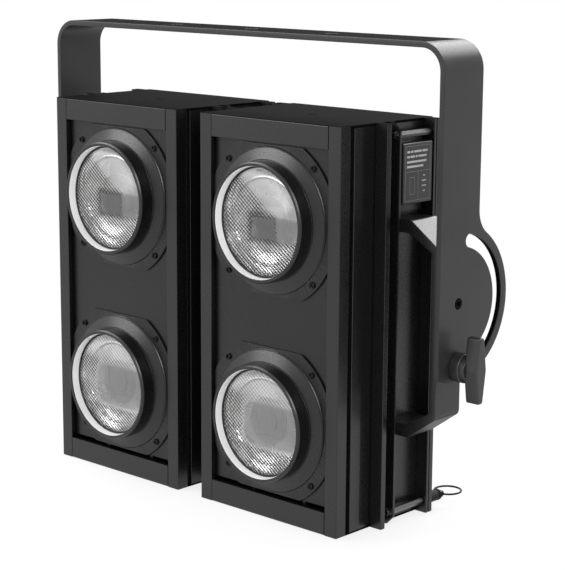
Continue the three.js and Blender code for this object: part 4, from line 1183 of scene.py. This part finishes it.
# A thin frame, a line across, a line down and a plain outlined box
def ruledLines():
    inset, thin, across, down = label["inset"], label["line"], label["divider"], label["middle"]
    front, back = plateSize["depth"][0] + inset, plateSize["depth"][1] - inset
    tall = plateSize["z"][1] - plateSize["z"][0] - inset
    x0, x1, z0, z1 = label["box"]
    inner = frameBox(front + thin, back - thin, inset + thin, tall - thin)
    return joined(
        printed([frameBox(front, back, inset, tall), inner]),
        printed([frameBox(front + thin, back - thin, across, across + thin)]),
        printed([frameBox(down, down + thin, inset + thin, across)]),
        printed([frameBox(x0, x1, z0, z1), frameBox(x0 + thin, x1 - thin, z0 + thin, z1 - thin)]),
    )


# Rows of plain bars, and a few short strokes
def inkMarks():
    high = label["rowHigh"]
    bars = []
    for z, words in label["rows"].items():
        for at, long in words:
            bars.append(printed([frameBox(at, at + long, z - high / 2, z + high / 2, 0.4)]))
    for at, z, long in label["strokes"]:
        bars.append(printed([frameBox(at - long / 2, at + long / 2, z - 0.6, z + 0.6, 0.4)]))
    return joined(*bars)


makePiece("channel_plate_hat", channelPlateShape(), blackNylon, nodes=["channel_plate"])
makePiece("channel_plate_lines", ruledLines(), greyInk)
makePiece("channel_plate_marks", inkMarks(), whiteInk)

display = {
    "level": 331.0,
    "plate": (137.3, 139.7),
    "half": (39.0, 23.0),
    "corner": 3.0,
    "window": (29.0, 9.0, 10.5),
    "pane": (0.1, 0.8, 1.3),  # its play at the edges, and where it starts and ends behind the plate's face
    "wells": (-24, -8, 8, 24),
    "drop": 12.0,
    "hole": 3.5,
    "well": 4.6,
    "sunk": 0.9,
    "body": (121.0, 133.0),
    "rim": (6.5, 3.5),
}


# Face plate with round button holes and a sunk window, on a plain body
def displayShape():
    (across, tall), (w, h, up), (sideways, upright) = display["half"], display["window"], display["rim"]
    (low, high), sunk, (back, floor) = display["plate"], display["sunk"], display["body"]
    plate = frameBox(-across, across, -tall, tall, display["corner"])
    body = frameBox(-across + sideways, across - sideways, -tall + upright, tall - upright, 1)
    places = [(x, -display["drop"]) for x in display["wells"]]
    holes, wells = [[circle(*place, display[key], 32) for place in places] for key in ("hole", "well")]
    window = frameBox(-w, w, up - h, up + h, 1.5)
    return joined(
        slab([plate, window, *holes], "y", low + sunk, high, 0.4),
        slab([plate, *holes], "y", low, low + sunk, 0),
        slab([body, *wells], "y", back, low + 0.1, 0),
        slab([body], "y", back, floor, 0),
    )


button = {"flange": (4.3, 135.2, 137.9), "key": (3.2, 141.1), "crown": 141.3}


# Turned key with a domed top and a hidden flange
def buttonShape():
    (wide, start, rim), (radius, top), crown = button["flange"], button["key"], button["crown"]
    outline = [[0, start, 0], [wide, start, 0], [wide, rim, 0.3], [radius, rim, 0], [radius, top, 0.9], [0, crown, 0]]
    return turned(rounded(outline), "y", 40)


# Unlit display: dark green-grey glass over faint rows of cells
def liquidCrystal():
    material, tree, place = newMaterial("liquidCrystalGlass")
    cells = addNode(tree, "ShaderNodeTexChecker", {"Scale": perMetre(1.4)}, {"Vector": place})
    colour = ramp(tree, cells.outputs["Fac"], [(0.2, "#26302a"), (0.8, "#2a352e")])
    shader = addNode(tree, "ShaderNodeBsdfPrincipled", {"Roughness": 0.12}, {"Base Color": colour})
    addNode(tree, "ShaderNodeOutputMaterial", (), {"Surface": shader.outputs[0]})
    return material


socket = {
    "plate": (137.3, 139.3),
    "half": 15.0,
    "body": (11.8, 117.0),
    "bore": 9.4,
    "well": 15.0,
    "contact": 1.2,
    "circle": 5.0,
    "screws": 11.3,
    "screwHead": (1.9, 1.1),
    "screwTurn": 25,
    "kinds": {"power_inlet": (3, 90), "data_in": (3, 30), "data_out": (5, 90)},  # contacts, and the first one's angle
}


# Square flange and turned body with a well, keyed rim and round contacts
def socketShape(contacts, twist):
    low, high = socket["plate"]
    radius, start = socket["body"]
    bore, floor = socket["bore"], high - socket["well"]
    body = rounded([
        [0, start, 0], [radius, start, 0.5], [radius, high + 0.1, 0], [radius - 0.4, high + 0.5, 0.3],
        [bore + 0.3, high + 0.5, 0.3], [bore, high, 0], [bore, floor, 0], [0, floor, 0],
    ])
    peg = slab([circle(0, 0, socket["contact"], 16)], "y", floor - 1, floor + 10, 0.4)
    pegs = []
    for i in range(contacts):
        a = np.radians(twist + 360 * i / contacts)
        pegs.append(moved(peg, socket["circle"] * np.cos(a), 0, socket["circle"] * np.sin(a)))
    half = socket["half"]
    flange = slab([frameBox(-half, half, -half, half, 3), circle(0, 0, radius - 0.2, 48)], "y", low, high, 0.4)
    return joined(flange, turned(body, "y", 64)), joined(*pegs)


right, panelHeight = layout["moduleCentre"], display["level"]
panelFace = moved(displayShape(), right, 0, panelHeight)
makePiece("control_panel_face", panelFace, blackNylon, nodes=["control_panel"])
(w, h, up), (play, paneFrom, paneTo), plateFace = display["window"], display["pane"], display["plate"][0]
paneOutline = frameBox(-w + play, w - play, up - h + play, up + h - play, 1.4)
glassPane = slab([paneOutline], "y", plateFace + paneFrom, plateFace + paneTo, 0.1)
makePiece("control_panel_window", moved(glassPane, right, 0, panelHeight), liquidCrystal())
for name, x in zip(("menu", "down", "up", "enter"), display["wells"]):
    key = moved(buttonShape(), right + x, 0, panelHeight - display["drop"])
    makePiece(f"button_{name}_cap", key, blackNylon, f"button_{name}_key", [f"button_{name}"])
height = rear["sockets"][1]
for x, (name, (contacts, twist)) in zip(rear["sockets"][0], socket["kinds"].items()):
    shell, pegs = socketShape(contacts, twist)
    makePiece(f"{name}_shell", moved(shell, right + x, 0, height), blackNylon, nodes=[name])
    makePiece(f"{name}_contacts", moved(pegs, right + x, 0, height), zincSteel)
    heads, apart = [], socket["screws"]
    for k in (-1, 1):
        head = facingBack(spun(screwHead(*socket["screwHead"]), socket["screwTurn"] * k), socket["plate"][1])
        heads.append(moved(head, right + x + k * apart, 0, height + k * apart))
    makePiece(f"{name}_screws", joined(*heads), darkSteel)
print("fittings made")

studio = {
    "eye": (1.2609, -1.3036, 0.5794),
    "azimuth": 42.77,
    "elevation": 11.49,
    "roll": 0.35,
    "lens": 111.85,
    "sensor": 36.0,
    "ambient": 0.5,  # the world's light on the object; what is seen of it is white
    "floorShadow": 0.22,  # how much of the floor's look is its own lit colour
    "floorHalf": 6.0,
    "floorDrop": 0.0005,
    "farthest": 50,
}
# Where each lamp stands, what it aims at, its width and height in metres, and its power in watts
softLamps = {
    "frontLeft": ((-1.75, -2.05, 1.4), (0, 0, 0.25), (1.4, 1.3), 32),
    "overhead": ((-1.4, -0.35, 1.9), (0, 0, 0.3), (1.5, 1.5), 26),
    "rightSide": ((2.4, -0.3, 1.2), (0.2, 0, 0.3), (0.7, 1.6), 1.5),
    "frontRight": ((1.9, -1.5, 1.7), (0, 0, 0.25), (1.3, 1.3), 35),
    "behind": ((0.0, 2.0, 2.1), (0, 0, 0.3), (2.2, 1.3), 55),
}


# A matrix whose columns are three axes and a place
def standing(across, up, back, at):
    return Matrix([*np.stack([across, up, back, np.array(at, float)], 1).tolist(), [0, 0, 0, 1]])


# Looks along the azimuth and elevation, then rolls about that line
def makeCamera():
    a, e, r = np.radians([studio["azimuth"], studio["elevation"], studio["roll"]])
    back = np.array([np.sin(a) * np.cos(e), -np.cos(a) * np.cos(e), np.sin(e)])
    across = np.array([np.cos(a), np.sin(a), 0])
    up = np.cross(back, across)
    turnedAcross = np.cos(r) * across + np.sin(r) * up
    turnedUp = np.cos(r) * up - np.sin(r) * across
    data = bpy.data.cameras.new("camera")
    data.sensor_fit = "HORIZONTAL"
    data.sensor_width, data.lens = studio["sensor"], studio["lens"]
    data.clip_end = studio["farthest"]
    camera = bpy.data.objects.new("camera", data)
    scene.collection.objects.link(camera)
    camera.matrix_world = standing(turnedAcross, turnedUp, back, studio["eye"])
    scene.camera = camera


# 1 for rays from the camera, off a glossy surface or through glass: the largest of the three flags
def seenDirectly(tree):
    path = addNode(tree, "ShaderNodeLightPath")
    most = path.outputs["Is Camera Ray"]
    for name in ("Is Glossy Ray", "Is Transmission Ray"):
        most = addNode(tree, "ShaderNodeMath", {"operation": "MAXIMUM"}, {0: most, 1: path.outputs[name]}).outputs[0]
    return most


# Lit floor for indirect light. Where it is seen it is white, mixed near the object with a share of its lit look.
def makeFloor():
    material, tree, place = newMaterial("paleFloor")
    soft = addNode(tree, "ShaderNodeTexNoise", {"Scale": perMetre(400)}, {"Vector": place})
    colour = ramp(tree, soft.outputs["Fac"], [(0.3, "#f4f4f4"), (0.7, "#f8f8f8")])
    lit = addNode(tree, "ShaderNodeBsdfDiffuse", (), {"Color": colour})
    white = addNode(tree, "ShaderNodeEmission", {"Color": (1, 1, 1, 1), "Strength": 1.0})
    near = addNode(tree, "ShaderNodeTexGradient", {"gradient_type": "SPHERICAL"}, {"Vector": place})
    share = ramp(tree, near.outputs["Fac"], [(0.0, 0.0), (0.7, studio["floorShadow"])])
    pale = addNode(tree, "ShaderNodeMixShader", (), {0: share, 1: white.outputs[0], 2: lit.outputs[0]})
    both = addNode(tree, "ShaderNodeMixShader", (), {0: seenDirectly(tree), 1: lit.outputs[0], 2: pale.outputs[0]})
    addNode(tree, "ShaderNodeOutputMaterial", (), {"Surface": both.outputs[0]})
    mesh = bpy.data.meshes.new("floor")
    far, low = studio["floorHalf"], -studio["floorDrop"]
    mesh.from_pydata([(-far, -far, low), (far, -far, low), (far, far, low), (-far, far, low)], [], [(0, 1, 2, 3)])
    mesh.materials.append(material)
    floor = bpy.data.objects.new("floor", mesh)
    scene.collection.objects.link(floor)


# White where it is seen, and a weaker even light on everything
def makeWorld():
    world = bpy.data.worlds.new("paleStudio")
    world.use_nodes = True
    tree = world.node_tree
    tree.nodes.clear()
    lit = addNode(tree, "ShaderNodeBackground", {"Color": (1, 1, 1, 1), "Strength": studio["ambient"]})
    white = addNode(tree, "ShaderNodeBackground", {"Color": (1, 1, 1, 1), "Strength": 1.0})
    both = addNode(tree, "ShaderNodeMixShader", (), {0: seenDirectly(tree), 1: lit.outputs[0], 2: white.outputs[0]})
    addNode(tree, "ShaderNodeOutputWorld", (), {"Surface": both.outputs[0]})
    scene.world = world


# A rectangular lamp whose back axis runs from its aim to its place, with one side level
def softLight(name, at, aim, size, power):
    data = bpy.data.lights.new(name, "AREA")
    data.shape, data.size, data.size_y = "RECTANGLE", *size
    data.energy = power
    light = bpy.data.objects.new(name, data)
    scene.collection.objects.link(light)
    back = np.array(at, float) - np.array(aim, float)
    back /= np.linalg.norm(back)
    across = np.cross([0, 0, 1], back)
    across /= np.linalg.norm(across)
    up = np.cross(back, across)
    light.matrix_world = standing(across, up, back, at)


makeCamera()
makeFloor()
makeWorld()
for name, lampFacts in softLamps.items():
    softLight(name, *lampFacts)
scene.view_settings.view_transform = "Standard"
print("studio made")
